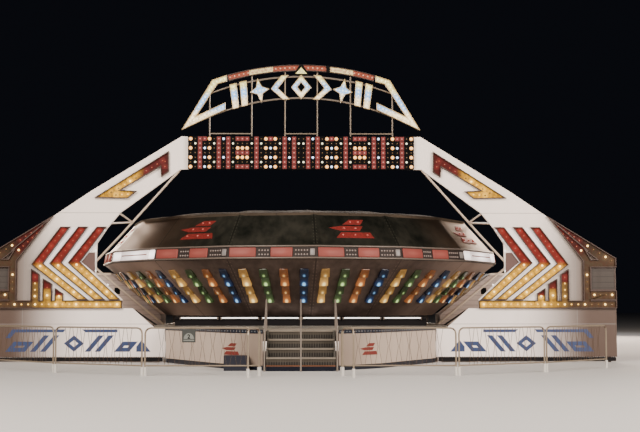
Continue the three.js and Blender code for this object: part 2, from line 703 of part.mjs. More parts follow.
// Motif of one place in the sign's row, across from -1 to 1 and up from 0 to 1
function rowMotif(index) {
  const diamond = [[0, 1], [1, 0.5], [0, 0], [-1, 0.5]];
  const arrowhead = [
    [-0.9, 1], [-0.9 + ROW_STROKE, 1], [0.95, 0.5], [-0.9 + ROW_STROKE, 0], [-0.9, 0], [0.25, 0.5],
  ];
  const star = [
    [0, 1], [0.3, 0.64], [1, 0.5], [0.3, 0.36], [0, 0], [-0.3, 0.36], [-1, 0.5], [-0.3, 0.64],
  ];
  const leaning = (u) => [[u, 1], [u + ROW_STROKE, 1], [u + 0.4 + ROW_STROKE, 0], [u + 0.4, 0]];
  return [
    [{ edge: diamond, hole: shrunk(diamond, 0.4) }],
    [{ edge: arrowhead }],
    [{ edge: star }],
    [{ edge: leaning(-1.05) }, { edge: leaning(-0.05) }],
  ][Math.abs(index)];
}

// Light boxes of one place in the row, bent to the arch
function rowBoxes(index, front, back) {
  const hand = index < 0 ? -1 : 1;
  const bent = ([u, v]) => signPoint(
    ROW.inner + v * (ROW.outer - ROW.inner), ROW.pitch * (index + hand * u * ROW_FILL));
  return rowMotif(index).map(({ edge, hole }) => {
    const shape = outline(edge.map(bent));
    if (hole) {
      shape.holes.push(outline(hole.map(bent)));
    }
    return plate(shape, front, back);
  });
}

// Arched sign: crown band, row of light boxes, fins, and the tube frame behind them
function sign() {
  const front = SIGN_BACK - BOX_DEPTH;
  const crown = arcStrip(CROWN.outer, CROWN.inner, CROWN.halfAngle);
  add('sign_crown', plate(crown, front, SIGN_BACK), RED_LIGHT);
  const { width, thick, inset } = ROW_STRIP;
  const spread = (ROW.each + ROW_FILL) * ROW.pitch;
  const strips = [ROW.outer - inset, ROW.inner + inset + width].map((outer) => (
    plate(arcStrip(outer, outer - width, spread), SIGN_BACK - thick, SIGN_BACK)));
  const boxes = [];
  for (let k = -ROW.each; k <= ROW.each; k += 1) {
    boxes.push(...rowBoxes(k, front, SIGN_BACK - thick / 2));
  }
  add('sign_row', join([...strips, ...boxes]), LAMP_WHITE);
  for (const [label, side] of SIDES) {
    const fin = plate(outline(mirrored(FIN_OUTLINE, side)), front, SIGN_BACK);
    add(`sign_fin_${label}`, fin, LAMP_WHITE);
  }
  add('sign_frame', signFrame(), CREAM_TUBE);
}

function signFrame() {
  const y = WING_FRONT + SIGN_TUBE;
  const normal = new THREE.Vector3(0, 1, 0);
  const at = ([x, z]) => new THREE.Vector3(x, y, z);
  const behindStrip = ROW_STRIP.inset + ROW_STRIP.width / 2;
  const arcs = [
    [ROW.outer - behindStrip, ARC_HALF_ANGLES.upper], [ROW.inner + behindStrip, ARC_HALF_ANGLES.lower],
  ];
  const pieces = arcs.map(([radius, halfAngle]) => {
    const steps = 16;
    const points = Array.from({ length: steps + 1 }, (_, k) => (
      at(signPoint(radius, halfAngle * ((2 * k) / steps - 1)))));
    return planarTube(points, normal, SIGN_TUBE, 6);
  });
  for (const side of [-1, 1]) {
    for (const x of SIGN_UPRIGHTS) {
      const top = SIGN_CENTRE_Z + Math.sqrt((CROWN.inner + SIGN_UPRIGHT_LAP) ** 2 - x ** 2);
      pieces.push(bar(at([side * x, BOARD.top + GAP]), at([side * x, top]), SIGN_TUBE, 6));
    }
  }
  const [middle, inner, outer] = SIGN_UPRIGHTS;
  for (const [from, to] of [[-outer, -inner], [-middle, middle], [inner, outer]]) {
    pieces.push(bar(at([from, SIGN_LOW_RAIL_Z]), at([to, SIGN_LOW_RAIL_Z]), SIGN_TUBE, 6));
  }
  return join(pieces);
}

// Pole frames with two struts forward to each wing, and the beam between their tops
function poleFrames() {
  const normal = new THREE.Vector3(0, 1, 0);
  for (const [label, side] of SIDES) {
    const at = ([x, z], y = 0) => new THREE.Vector3(side * x, y, z);
    const pole = planarTube(POLE_ROUTE.map((point) => at(point)), normal, POLE_RADIUS, 8);
    const wingBack = WING_FRONT + WING_THICK + GAP;
    const strutEnd = wingBack - 2 * STRUT_RADIUS;
    const struts = STRUT_ENDS.map((end) => bar(at(STRUT_NODE), at(end, strutEnd), STRUT_RADIUS, 8));
    const beamEnd = TOP_BEAM.halfLength + GAP;
    const tools = [
      block(-beamEnd, beamEnd, -REACH, REACH, EAVE.z, REACH),
      block(-REACH, REACH, -REACH, REACH, -REACH, BED.top + GAP),
      block(-REACH, REACH, -REACH, wingBack, 0, REACH),
    ];
    add(`pole_frame_${label}`, cut(join([pole, ...struts]), tools), CREAM_TUBE);
  }
  const { halfLength, halfDepth, bottom, top } = TOP_BEAM;
  add('top_beam', block(-halfLength, halfLength, -halfDepth, halfDepth, bottom, top), CREAM_TUBE);
}

// End housings, their inner ends sloped to follow the drum
function housings() {
  const slope = (KNUCKLE.radius - DRUM_FOOT.radius) / (KNUCKLE.z - DRUM_FOOT.z);
  const inner = DRUM_FOOT.radius + HOUSING.clearance;
  const topInner = inner + (HOUSING.top - DRUM_FOOT.z) * slope;
  const floor = BED.top + GAP;
  const points = [
    [inner, floor], [inner, DRUM_FOOT.z], [topInner, HOUSING.top],
    [HOUSING.outer, HOUSING.top], [HOUSING.outer, floor],
  ];
  for (const [label, side] of SIDES) {
    const shape = outline(mirrored(points, side));
    add(`end_housing_${label}`, plate(shape, HOUSING.front, HOUSING.back), GREY_BOARDING);
  }
}

function powerBox() {
  const { inner, outer, front, back, height } = POWER_BOX;
  add('power_box', block(-outer, -inner, front, back, 0, height), NAVY_PAINT);
}

trailer();
frontDeck();
deckSkirts();
sideSkirts();
lightBar();
stairFlight();
handrails();
barriers();
wings();
wingLights();
bulbBoard();
sign();
poleFrames();
housings();
powerBox();
drumBase();
drumWalls();
rimBand();
drumRoof();

export default ride;
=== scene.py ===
# %% [markdown]
# # A spinning drum ride, piece by piece
# The solid model already holds every panel, tube and deck at its real size. This lesson
# loads it as a frame that never moves, gives each solid a finish, and models what is too
# fine for it: lamp trays, bulbs, lenses, trims, canvas and boards. Lengths are metres, +Z
# is up, the drum's axis is the Z axis, and the front faces -Y.

# %% The frame
import math

import bpy
from mathutils import Matrix, Vector


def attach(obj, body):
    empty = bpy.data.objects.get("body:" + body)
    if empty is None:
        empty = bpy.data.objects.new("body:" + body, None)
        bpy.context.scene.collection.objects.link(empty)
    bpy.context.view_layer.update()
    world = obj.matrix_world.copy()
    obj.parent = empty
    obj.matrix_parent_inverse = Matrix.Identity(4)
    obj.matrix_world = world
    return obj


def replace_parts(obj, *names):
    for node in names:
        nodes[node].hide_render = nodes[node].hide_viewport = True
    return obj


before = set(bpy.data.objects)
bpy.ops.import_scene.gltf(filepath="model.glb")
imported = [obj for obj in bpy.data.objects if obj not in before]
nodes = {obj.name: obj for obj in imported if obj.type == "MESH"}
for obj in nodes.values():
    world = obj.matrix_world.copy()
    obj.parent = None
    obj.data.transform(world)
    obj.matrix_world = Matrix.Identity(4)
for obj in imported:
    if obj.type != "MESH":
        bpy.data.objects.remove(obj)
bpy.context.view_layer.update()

# %% [markdown]
# ## The camera
# The photograph was taken from head height, well back from the ride on its middle line,
# turned a touch to the right and tilted up. Standing the camera where the photographer
# stood gives the same perspective, which no crop or zoom from another place would.

# %% Camera
CAMERA_AT = (0.0, -38.4, 1.6)
CAMERA_TILT = 4.39
CAMERA_PAN = 0.94
LENS = 65.25

camera = bpy.data.objects.new("camera", bpy.data.cameras.new("camera"))
bpy.context.scene.collection.objects.link(camera)
camera.data.lens = LENS
camera.data.clip_end = 400
camera.location = CAMERA_AT
camera.rotation_euler = (math.radians(90 + CAMERA_TILT), 0, math.radians(-CAMERA_PAN))
bpy.context.scene.camera = camera
print("camera at", CAMERA_AT, "lens", LENS)

# %% [markdown]
# ## Writing shader maths as sums
# A procedural material is a small program of nodes. Wiring it by hand hides the idea, so
# one class wraps a socket and lets Python's operators add the Math nodes. `1 - mask` then
# reads as it would on paper. Colours go through Mix nodes, because Math makes them grey.

# %% Values inside a material
class Value:
    """One socket's value; sums on it add Math nodes."""

    def __init__(self, finish, socket):
        self.finish = finish
        self.socket = socket

    def math(self, operation, *terms):
        return self.finish.node("ShaderNodeMath", {"operation": operation}, dict(enumerate(terms)))

    def rise(self, start, end):
        """0 below start and 1 above end, with a soft step between."""
        return self.finish.node(
            "ShaderNodeMapRange", {"interpolation_type": "SMOOTHSTEP"},
            {"Value": self, "From Min": start, "From Max": end})

    def within(self, low, high, soft=0.01):
        """1 between low and high, with a soft step just inside each."""
        return self.rise(low, low + soft) * (1 - self.rise(high - soft, high))

    def near(self, centre, reach, soft=0.5):
        """1 within reach of the centre, fading to 0 just past it."""
        return 1 - abs(self - centre).rise(reach, reach * (1 + soft))

    def repeat(self, pitch, start=0.0):
        """Distance to the nearest line of a row of lines."""
        return abs((self - start + pitch / 2) % pitch - pitch / 2)


def operator(operation, order=1):
    """A method that adds one Math node; order -1 turns its terms round, as 1 - mask needs."""
    return lambda *terms: terms[0].math(operation, *terms[::order])


for word, operation in {"add": "ADD", "sub": "SUBTRACT", "mul": "MULTIPLY", "truediv": "DIVIDE"}.items():
    setattr(Value, f"__{word}__", operator(operation))
    setattr(Value, f"__r{word}__", operator(operation, -1))
for word, operation in {
        "__pow__": "POWER", "__mod__": "FLOORED_MODULO", "__abs__": "ABSOLUTE", "least": "MINIMUM",
        "most": "MAXIMUM", "sine": "SINE", "floor": "FLOOR"}.items():
    setattr(Value, word, operator(operation))


# %% A finish: one material and its nodes
class Finish:
    """A material whose shader takes numbers, colours and values."""

    def __init__(self, name, **sockets):
        self.material = bpy.data.materials.new(name)
        self.material.use_nodes = True
        self.tree = self.material.node_tree
        self.shader = next(n for n in self.tree.nodes if n.type == "BSDF_PRINCIPLED")
        self.set(**sockets)

    def node(self, kind, settings=None, sockets=None, output=0):
        made = self.tree.nodes.new(kind)
        for key, setting in (settings or {}).items():
            setattr(made, key, setting)
        for key, value in (sockets or {}).items():
            self.put(made.inputs[key], value)
        return Value(self, made.outputs[output])

    def put(self, socket, value):
        if isinstance(value, Value):
            self.tree.links.new(value.socket, socket)
        elif isinstance(value, tuple) and len(value) == 3 and socket.type == "RGBA":
            socket.default_value = (*value, 1.0)
        else:
            socket.default_value = value

    def set(self, **sockets):
        for key, value in sockets.items():
            name = "Specular IOR Level" if key == "specular" else key.replace("_", " ").title()
            self.put(self.shader.inputs[name], value)
        return self

    def mix(self, factor, a, b):
        return self.node("ShaderNodeMix", {"data_type": "RGBA"}, {0: factor, 6: a, 7: b}, output=2)

    def lit(self, share, colour):
        """A colour at a share of its brightness."""
        return self.mix(share, (0, 0, 0), colour)

    def axes(self, source="Object"):
        coordinates = self.node("ShaderNodeTexCoord", output=source)
        return [self.node("ShaderNodeSeparateXYZ", None, {0: coordinates}, output=k) for k in range(3)]

    def polar(self):
        """The angle about the drum's axis and the distance from it."""
        x, y, z = self.axes()
        return x.math("ARCTAN2", x, 0 - y), (x * x + y * y) ** 0.5

    def noise(self, scale, stretch=(1, 1, 1), detail=3.0):
        coordinates = self.node("ShaderNodeTexCoord", output="Object")
        placed = self.node("ShaderNodeMapping", None, {"Vector": coordinates, "Scale": stretch})
        return self.node("ShaderNodeTexNoise", None, {"Vector": placed, "Scale": scale, "Detail": detail})

    def bump(self, height, distance=0.01, strength=0.6, **more):
        sockets = {"Height": height, "Distance": distance, "Strength": strength, **more}
        return self.set(normal=self.node("ShaderNodeBump", None, sockets))

    def rounded(self, run, rise, share):
        """The normal turned by a share toward a round cone's, which points out by run and up by rise."""
        x, y, z = self.axes()
        out = run / (x * x + y * y) ** 0.5
        cone = self.node("ShaderNodeCombineXYZ", None, {0: x * out, 1: y * out, 2: rise})
        world = {"vector_type": "NORMAL", "convert_from": "OBJECT", "convert_to": "WORLD"}
        cone = self.node("ShaderNodeVectorTransform", world, {"Vector": cone})
        flat = self.node("ShaderNodeNewGeometry", output="Normal")
        blend = self.node("ShaderNodeMix", {"data_type": "VECTOR"}, {0: share, 4: flat, 5: cone}, output=1)
        return self.node("ShaderNodeVectorMath", {"operation": "NORMALIZE"}, {0: blend})


print("shader maths ready")

# %% [markdown]
# ## Painted sheet
# The wings, skirts and housings are enamelled steel sheet on frames. Real sheet shows its
# seams, slow waviness, and dirt that runs down it in streaks. Some sheets also carry painted
# shade, darker where the light falls off, and painted light of their own. All of it is drawn
# from the position in metres, so it lines up with the CAD.

# %% Enamelled sheet
SEAM = 0.006
# The colour that painted shade darkens the sheet toward.
PAINTED_SHADE_COLOUR = (0.045, 0.017, 0.006)


def scaled(colour, factor):
    return tuple(c * factor for c in colour)


def sheet_paint(name, colour, seams_x=(), seams_z=(), roughness=0.42, dirt=0.25, foot=None, groove=0.0,
                painted_shade=None, specular=0.5, glow=0.0):
    """Enamel on sheet with dark seams at the given X and Z, rain streaks, and a foot of another colour.

    A groove is the pitch of level boards. Across the painted-shade range of |X| the sheet loses that
    range's share of its brightness: painted shade. Glow is painted light: the sheet gives off a
    little light of its own."""
    paint = Finish(name, specular=specular, emission_strength=glow)
    x, y, z = paint.axes()
    across = abs(x)
    seam = (1 - z.repeat(groove).rise(0.004, 0.016)) * 0.6 if groove else z * 0.0
    for way, places in ((across, seams_x), (z, seams_z)):
        for place in places:
            seam = seam.most(way.near(place, SEAM))
    streaks = paint.noise(2.2, stretch=(2.4, 2.4, 0.22)).rise(0.5, 0.8)
    patches = paint.noise(0.9, detail=5.0).rise(0.35, 0.75)
    grime = (streaks * 0.6 + patches * 0.4) * dirt
    tone = paint.mix(grime, colour, tuple(c * f for c, f in zip(colour, (0.62, 0.56, 0.48))))
    # Painted shade: across this range of |X| the sheet darkens, for light falling off.
    if painted_shade:
        bright, dark, share = painted_shade
        tone = paint.mix(across.rise(bright, dark) * share, tone, PAINTED_SHADE_COLOUR)
    if foot:
        tone = paint.mix(z.rise(foot[0] - 0.003, foot[0] + 0.003), foot[1], tone)
    paint.set(
        base_color=paint.mix(seam * 0.8, tone, scaled(colour, 0.25)),
        roughness=roughness + paint.noise(14.0) * 0.14)
    # Painted light: the sheet gives off its own colour as a little light.
    if glow:
        paint.set(emission_color=tone)
    paint.bump(paint.noise(0.8, detail=1.0) * 0.6 + (1 - seam) * 0.4, distance=0.004, strength=0.35)
    return paint.material


# %% Enamelled tube
BAY_EDGE = 0.06
WIRES_FOOT = 0.25
WIRES_HEAD = 1.065


def tube_paint(name, colour, chipped=(0.20, 0.15, 0.11), sleeve_top=0.0, bay=None):
    """Enamel on steel tube, scuffed through in places; below sleeve_top it is white plastic.

    A bay is the plan line of a barrier between two points: the wires inside its frame are rusty."""
    paint = Finish(name)
    x, y, z = paint.axes()
    chips = paint.noise(38.0, detail=4.0).rise(0.64, 0.7)
    shade = paint.noise(3.0, stretch=(1, 1, 0.5))
    body = paint.mix(chips * 0.7, paint.mix(shade, scaled(colour, 0.82), colour), chipped)
    if bay:
        length = math.dist(*bay)
        away = [(b - a) / length for a, b in zip(*bay)]
        run = (x - bay[0][0]) * away[0] + (y - bay[0][1]) * away[1]
        wires = run.within(BAY_EDGE, length - BAY_EDGE) * z.within(WIRES_FOOT, WIRES_HEAD, 0.005)
        body = paint.mix(wires * 0.9, body, (0.070, 0.036, 0.018))
    if sleeve_top:
        body = paint.mix(z.rise(sleeve_top, sleeve_top + 0.004), (0.62, 0.60, 0.56), body)
    paint.set(base_color=body, roughness=0.3 + chips * 0.3 + shade * 0.1, metallic=0.15)
    return paint.bump(paint.noise(60.0), distance=0.001, strength=0.3).material


# %% [markdown]
# ## The drum's skin
# The drum is a ring of sixteen flat sheet-metal panels. Their joints fall at even angles
# about the axis, so the pattern is drawn from the angle: an arctangent of X and Y gives
# it, and the distance to the nearest joint gives the seams and their two rows of rivets.

# %% Drum skin
SIDES = 16
SIDE = math.radians(360 / SIDES)
PHASE = math.radians(3.75)
LAMP_ANGLES = (60.0, 127.5, -120.0, -52.5)


def drum_skin(name, lit, dark, painted_lamp_light, lean, roughness=0.38, metallic=0.75):
    """Dull coated metal panels with seams, rivets and brushed streaks.

    The skin runs from its dark colour to its lit one along the brushed streaks and mottling: grain,
    and painted sheen. The third colour is painted light: the skin takes it near the four white lamp
    panels of the rim, as if lit by them. The thin sheets bulge between their joints, so the shading
    leans toward a round cone's with its run and rise."""
    skin = Finish(name)
    z = skin.axes()[2]
    angle, radius = skin.polar()
    aside = angle.repeat(SIDE, PHASE) * radius
    seam = 1 - aside.rise(0.006, 0.012)
    rivets = aside.near(0.045, 0.011, soft=0.3) * (1 - z.repeat(0.09).rise(0.010, 0.014))
    brushed = skin.noise(5.0, stretch=(1, 1, 0.07), detail=6.0).rise(0.3, 0.7)
    mottled = skin.noise(1.1, detail=6.0).rise(0.3, 0.75)
    fine = skin.noise(90.0, detail=2.0)
    # The lit colour, brought out along the brushed streaks and mottling, is partly painted sheen.
    body = skin.mix(brushed * 0.5 + mottled * 0.5, dark, lit)
    # Painted light: near the four white lamp panels the skin takes the lamp-light colour.
    beside = angle * 0.0
    for degrees in LAMP_ANGLES:
        beside = beside.most(1 - abs(angle - math.radians(degrees)).rise(0.10, 0.46))
    body = skin.mix(beside * (mottled * 0.3 + 0.7), body, painted_lamp_light)
    body = skin.mix(seam * 0.75, body, scaled(dark, 0.2))
    body = skin.mix(rivets * 0.6, body, scaled(lit, 1.7))
    skin.set(base_color=body, roughness=roughness + fine * 0.16 + mottled * 0.08, metallic=metallic)
    height = fine * 0.1 + rivets * 0.8 + (1 - seam) * 0.5 + brushed * 0.2
    return skin.bump(height, distance=0.004, Normal=skin.rounded(*lean, share=0.93)).material


# %% [markdown]
# ## Steel, tread plate and canvas
# Under the deck the steel is black paint with rust blooming through it. The decks and the
# treads are aluminium plate with a raised pattern of short bars, which two crossed rows of
# stretched dots give. Canvas is a plain weave with seams and water stains.

# %% Dark steel, tread plate, canvas
NAVY = (0.005, 0.007, 0.017)
PLINTH = 0.110
RISE = 0.215


def dark_steel(name):
    steel = Finish(name)
    rust = steel.noise(5.0, detail=6.0).rise(0.55, 0.75)
    body = steel.mix(rust * 0.7, (0.030, 0.028, 0.028), (0.13, 0.060, 0.032))
    steel.set(base_color=body, roughness=0.5 + rust * 0.3, metallic=0.35)
    return steel.bump(steel.noise(30.0, detail=4.0), distance=0.003).material


def tread_plate(name, ribbed=False):
    """Raised-pattern plate; a ribbed one has upright ribs on its risers and a navy foot."""
    plate = Finish(name)
    x, y, z = plate.axes()
    pitch = 0.07
    bars = z * 0.0
    for start, wide, deep in ((0.0, 0.006, 0.022), (pitch / 2, 0.022, 0.006)):
        dots = (x + y).repeat(pitch, start).near(0.0, wide) * (x - y).repeat(pitch, start).near(0.0, deep)
        bars = bars.most(dots)
    tone = plate.noise(2.0, detail=5.0)
    body = plate.mix(bars * 0.4 + tone * 0.5, (0.16, 0.145, 0.125), (0.52, 0.49, 0.44))
    if ribbed:
        upright = plate.node("ShaderNodeNewGeometry", output="Normal")
        level = plate.node("ShaderNodeSeparateXYZ", None, {0: upright}, output=2)
        riser = 1 - abs(level).rise(0.2, 0.6)
        rib = 1 - x.repeat(0.062).rise(0.008, 0.020)
        tread_edge = ((z - PLINTH) % RISE).rise(0.098, 0.104)
        for share, colour in (
                (0.5, (0.020, 0.016, 0.012)), (riser * (1 - rib * 0.35), (0.022, 0.018, 0.015)),
                (riser * tread_edge * 0.8, (0.085, 0.072, 0.056)),
                (z.near(PLINTH + 0.012, 0.010), (0.22, 0.095, 0.050)),
                (1 - z.rise(PLINTH - 0.003, PLINTH + 0.003), NAVY)):
            body = plate.mix(share, body, colour)
    plate.set(base_color=body, roughness=0.5 - bars * 0.15, metallic=0.55)
    return plate.bump(bars + plate.noise(50.0) * 0.1, distance=0.003).material


def canvas_cloth(name, colour, dark):
    cloth = Finish(name)
    x, y, z = cloth.axes()
    angle, radius = cloth.polar()
    seam = (angle.repeat(SIDE / 2, PHASE) * radius).near(0.0, 0.016)
    weave = (x * 520.0).sine() * (y * 520.0).sine()
    stains = cloth.noise(0.9, detail=6.0).rise(0.42, 0.72)
    body = cloth.mix(stains * 0.55 + cloth.noise(9.0) * 0.2, colour, dark)
    body = cloth.mix(seam * 0.5, body, dark)
    cloth.set(base_color=body, roughness=0.82 + stains * 0.1, specular=0.2)
    return cloth.bump(weave * 0.15 + seam * 0.6 + cloth.noise(3.0) * 0.5, distance=0.006).material


# %% [markdown]
# ## Lit glass and plastic
# Bulbs, lenses and light boxes glow. A lens is brightest where its bulb sits behind it, so
# each lens carries a UV map in metres from its own middle, and the glow falls off with
# the distance. The glow goes into Emission Color, and its strength is one plain number.

# %% Lamps
def bulb_glass(name, colour, core, strength, reach=0.05):
    """A lit bulb: its colour at the rim, paler at its middle."""
    glass = Finish(name, roughness=0.15, coat_weight=0.4, emission_strength=strength)
    u, v = glass.axes("UV")[:2]
    middle = 1 - ((u * u + v * v) ** 0.5).rise(reach * 0.1, reach)
    uneven = (glass.noise(1.3) * 0.5 + 0.6).least(1.0)
    glass.set(base_color=colour, emission_color=glass.lit(uneven, glass.mix(middle, colour, core)))
    return glass.material


def lens_plastic(name, colour, core, strength, size=(0.12, 0.17), low=-0.06, wall=0.25, roughness=0.18):
    """A moulded lens over one bulb, with fine ribs; wall is how bright its edge still is."""
    lens = Finish(name, roughness=roughness, coat_weight=0.1 / roughness - 0.1, emission_strength=strength)
    u, v = lens.axes("UV")[:2]
    aside = u / size[0]
    along = (v - low) / size[1]
    away = (aside * aside + along * along) ** 0.5
    edge = 1 - away.rise(0.3, 1.3)
    ribs = (v * 260.0).sine() * 0.5 + 0.5
    uneven = (lens.noise(0.9) * 0.7 + 0.45).least(1.0)
    glow = lens.mix(1 - away.rise(0.05, 0.62), lens.lit(edge * (1 - wall) + wall, colour), core)
    lens.set(base_color=scaled(colour, 0.4), emission_color=lens.lit(uneven, glow))
    return lens.bump(ribs * 0.6 + lens.noise(8.0), distance=0.002, strength=0.5).material


# %% [markdown]
# ## Pools of light in a tray
# A bulb lights the tray's floor round it. So a face knows the rows of bulbs that stand on
# it: the distance to the nearest bulb of a row comes from one coordinate along the row,
# folded at the bulbs' pitch, and one across it. Every third bulb is at its full light.

# %% Light box faces
CHASE = 3
BULB_PITCH = 0.19
POOL = 0.165


def row_step(start, end, pitch):
    """Length of a row and the even step nearest to the pitch that fills it."""
    length = math.dist(start, end)
    return length, length / max(1, round(length / pitch))


def pools(face, rows, dim):
    """Brightness of the light round each bulb of the rows, mirrored left and right."""
    x, y, z = face.axes()
    aside = abs(x)
    total = aside * 0.0
    for start, end in rows:
        length, step = row_step(start, end, BULB_PITCH)
        ux = (end[0] - start[0]) / length
        uz = (end[1] - start[1]) / length
        along = (aside - start[0]) * ux + (z - start[1]) * uz
        across = (z - start[1]) * ux - (aside - start[0]) * uz
        folded = along.repeat(step, step / 2)
        away = (folded * folded + across * across) ** 0.5
        number = (along / step).floor() % CHASE
        power = (1 - number.least(1.0)) * (1 - dim) + dim
        inside = along.within(-0.01, length + 0.01, 0.02)
        total = total.most((1 - away.rise(0.0, POOL)) * inside * power)
    return total


def box_face(name, ramp, glow=None, rows=(), strength=1.0, low=0.14, dim=0.45):
    """A box face; ramp(finish) gives its colour, and pools of the glow colour lie round its bulbs."""
    face = Finish(name, roughness=0.45, specular=0.1, emission_strength=strength)
    mottled = face.noise(17.0, detail=4.0).rise(0.42, 0.62)
    colour = face.mix(mottled * 0.45, ramp(face), (0.055, 0.016, 0.009))
    # The face gives off light at a low share of its colour, with brighter pools round its bulbs. On the
    # sign's backlit row and fins this is their lamp; on the steel lamp trays and the emblems it is painted
    # light.
    light = face.lit((face.noise(7.0, detail=4.0) * 0.5 + 0.7).least(1.0) * low, colour)
    if rows:
        light = face.mix(pools(face, rows, dim), light, glow(face))
    face.set(base_color=colour, emission_color=light)
    return face.bump(face.noise(26.0), distance=0.002, strength=0.3).material


print("finishes ready")

# %% [markdown]
# ## Painting the solids
# Every solid that stays visible gets a finish through its material slot. Its mesh is left
# alone. The names say which finish goes where, and like solids share one.

# %% Paint the CAD nodes
def paint(material, *starts):
    """Puts the material on every solid whose name begins with one of the words."""
    found = [name for name in nodes if name.startswith(starts)]
    for name in found:
        nodes[name].data.materials.clear()
        nodes[name].data.materials.append(material)
    print(material.name, "on", len(found))
    return material


# The wing, skirt and deck sheets carry painted shade: darker toward the outer ends of the wings and skirts,
# and toward the stair on the deck's skirt. The skirt also gives off a little painted light.
paint(sheet_paint("wing_white", (0.95, 0.85, 0.79), seams_x=(7.76,), seams_z=(4.194,), dirt=0.16,
                  painted_shade=(6.5, 8.15, 0.93)), "wing_arm", "wing_body")
paint(sheet_paint("skirt_white", (0.87, 0.78, 0.74), seams_x=(7.79,), seams_z=(1.07,), dirt=0.22,
                  painted_shade=(5.9, 8.2, 0.97), glow=0.13), "side_skirt")
paint(sheet_paint("deck_white", (0.57, 0.46, 0.38), seams_x=(2.9,), dirt=0.3, foot=(0.125, NAVY),
                  painted_shade=(2.4, 1.0, 0.52)), "deck_skirt")
cream_tube = paint(tube_paint("cream_tube", (0.88, 0.72, 0.57)), "pole_frame", "top_beam")
paint(tube_paint("rail_tube", (0.25, 0.21, 0.18)), "handrail")
paint(tube_paint("sign_tube", (0.22, 0.175, 0.13)), "sign_frame")
# The skins' lit colours are partly painted sheen; their third colours, taken near the white lamp panels, are
# painted lamp light.
paint(drum_skin("upper_skin", (0.092, 0.086, 0.068), (0.022, 0.026, 0.021), (0.200, 0.135, 0.095),
                (0.742, 0.671), roughness=0.36, metallic=0.92), "upper_wall")
paint(drum_skin("lower_skin", (0.165, 0.118, 0.100), (0.075, 0.052, 0.044), (0.50, 0.375, 0.315),
                (0.622, -0.783), metallic=0.55), "lower_wall")
steel = paint(dark_steel("black_steel"), "trailer_bed", "centre_bearing", "drum_hub", "turntable_ring")
bar_black = sheet_paint("bar_black", (0.006, 0.005, 0.006), roughness=0.6, dirt=0.2, specular=0.1)
paint(bar_black, "tube_light_bar")
paint(tread_plate("tread_plate"), "base_deck", "front_deck", "drum_floor")
paint(tread_plate("stair_plate", ribbed=True), "stair_flight")
board_black = sheet_paint("board_black", (0.004, 0.0035, 0.004), roughness=0.6, dirt=0.0, specular=0.06)
paint(board_black, "bulb_board")
paint(sheet_paint("band_brown", (0.030, 0.022, 0.020), roughness=0.6, specular=0.2), "rim_light_band")
navy = paint(sheet_paint("navy_enamel", NAVY, roughness=0.35, dirt=0.2), "power_box")
paint(sheet_paint("grey_boarding", (0.56, 0.44, 0.39), dirt=0.4, groove=0.16), "end_housing")
for name in [name for name in nodes if name.startswith("queue_")]:
    spots = [vertex.co for vertex in nodes[name].data.vertices]
    axis = 0 if max(s.x for s in spots) - min(s.x for s in spots) > 1.0 else 1
    ends = [tuple(pick(spots, key=lambda spot: spot[axis]))[:2] for pick in (min, max)]
    paint(tube_paint(f"{name}_tube", (0.27, 0.215, 0.155), sleeve_top=0.2, bay=ends), name)

# %% [markdown]
# ## Working by hand, in code
# The modelling operators act on whatever is selected, as they do for a person at the
# screen. So each piece begins with nothing selected, faces are picked by where they are or
# which way they face, and the finished piece has its place in its mesh.

# %% Selecting and adding
def clear_selection():
    bpy.ops.object.select_all(action="DESELECT")


def take(piece):
    """Selects one piece alone and makes it active."""
    clear_selection()
    piece.select_set(True)
    bpy.context.view_layer.objects.active = piece


def settle(piece):
    """Moves an object's place, turn and size into its mesh."""
    take(piece)
    bpy.ops.object.transform_apply(location=True, rotation=True, scale=True)
    return piece


def block(x, half, front, back, low, high):
    """A cube stretched to a half width each way from X, between two Y and two Z values."""
    middle = (x, (front + back) / 2, (low + high) / 2)
    clear_selection()
    bpy.ops.mesh.primitive_cube_add(size=1, location=middle, scale=(half * 2, back - front, high - low))
    return settle(bpy.context.object)


def rod(start, end, radius, sides=12):
    """A straight round bar between two points."""
    middle = (Vector(start) + Vector(end)) / 2
    run = Vector(end) - Vector(start)
    clear_selection()
    bpy.ops.mesh.primitive_cylinder_add(
        vertices=sides, radius=radius, depth=run.length, location=middle,
        rotation=run.to_track_quat("Z", "Y").to_euler())
    return settle(bpy.context.object)


# %% Shaping in edit mode
def edit(piece, action="SELECT"):
    """Takes one piece into edit mode, with all or none of it selected."""
    take(piece)
    bpy.ops.object.mode_set(mode="EDIT")
    bpy.ops.mesh.select_all(action=action)


def leave_edit():
    bpy.ops.object.mode_set(mode="OBJECT")


def pick_faces(piece, test):
    """Goes into edit mode with only the faces selected that pass the test."""
    edit(piece, "DESELECT")
    bpy.ops.mesh.select_mode(type="FACE")
    leave_edit()
    for face in piece.data.polygons:
        face.select = test(face)
    bpy.ops.object.mode_set(mode="EDIT")


def plate(points, front, thick, hollow=0.0):
    """A plate cut to an outline in X and Z, its front face at Y front; hollow leaves a rim."""
    clear_selection()
    bpy.ops.mesh.primitive_circle_add(vertices=len(points), fill_type="NGON")
    piece = bpy.context.object
    for vertex, (x, z) in zip(piece.data.vertices, points):
        vertex.co = (x, front, z)
    edit(piece)
    if hollow:
        bpy.ops.mesh.inset(thickness=hollow, depth=0, use_even_offset=True)
        bpy.ops.mesh.delete(type="FACE")
        bpy.ops.mesh.select_all(action="SELECT")
    bpy.ops.mesh.extrude_region_move(TRANSFORM_OT_translate={"value": (0, thick, 0)})
    bpy.ops.mesh.select_all(action="SELECT")
    bpy.ops.mesh.normals_make_consistent(inside=False)
    leave_edit()
    return piece


def mirrored(points, side):
    return [(side * x, z) for x, z in points]


def pair(points, front, thick, hollow=0.0):
    """The same plate at the left and at the right."""
    return [plate(mirrored(points, side), front, thick, hollow) for side in (-1, 1)]


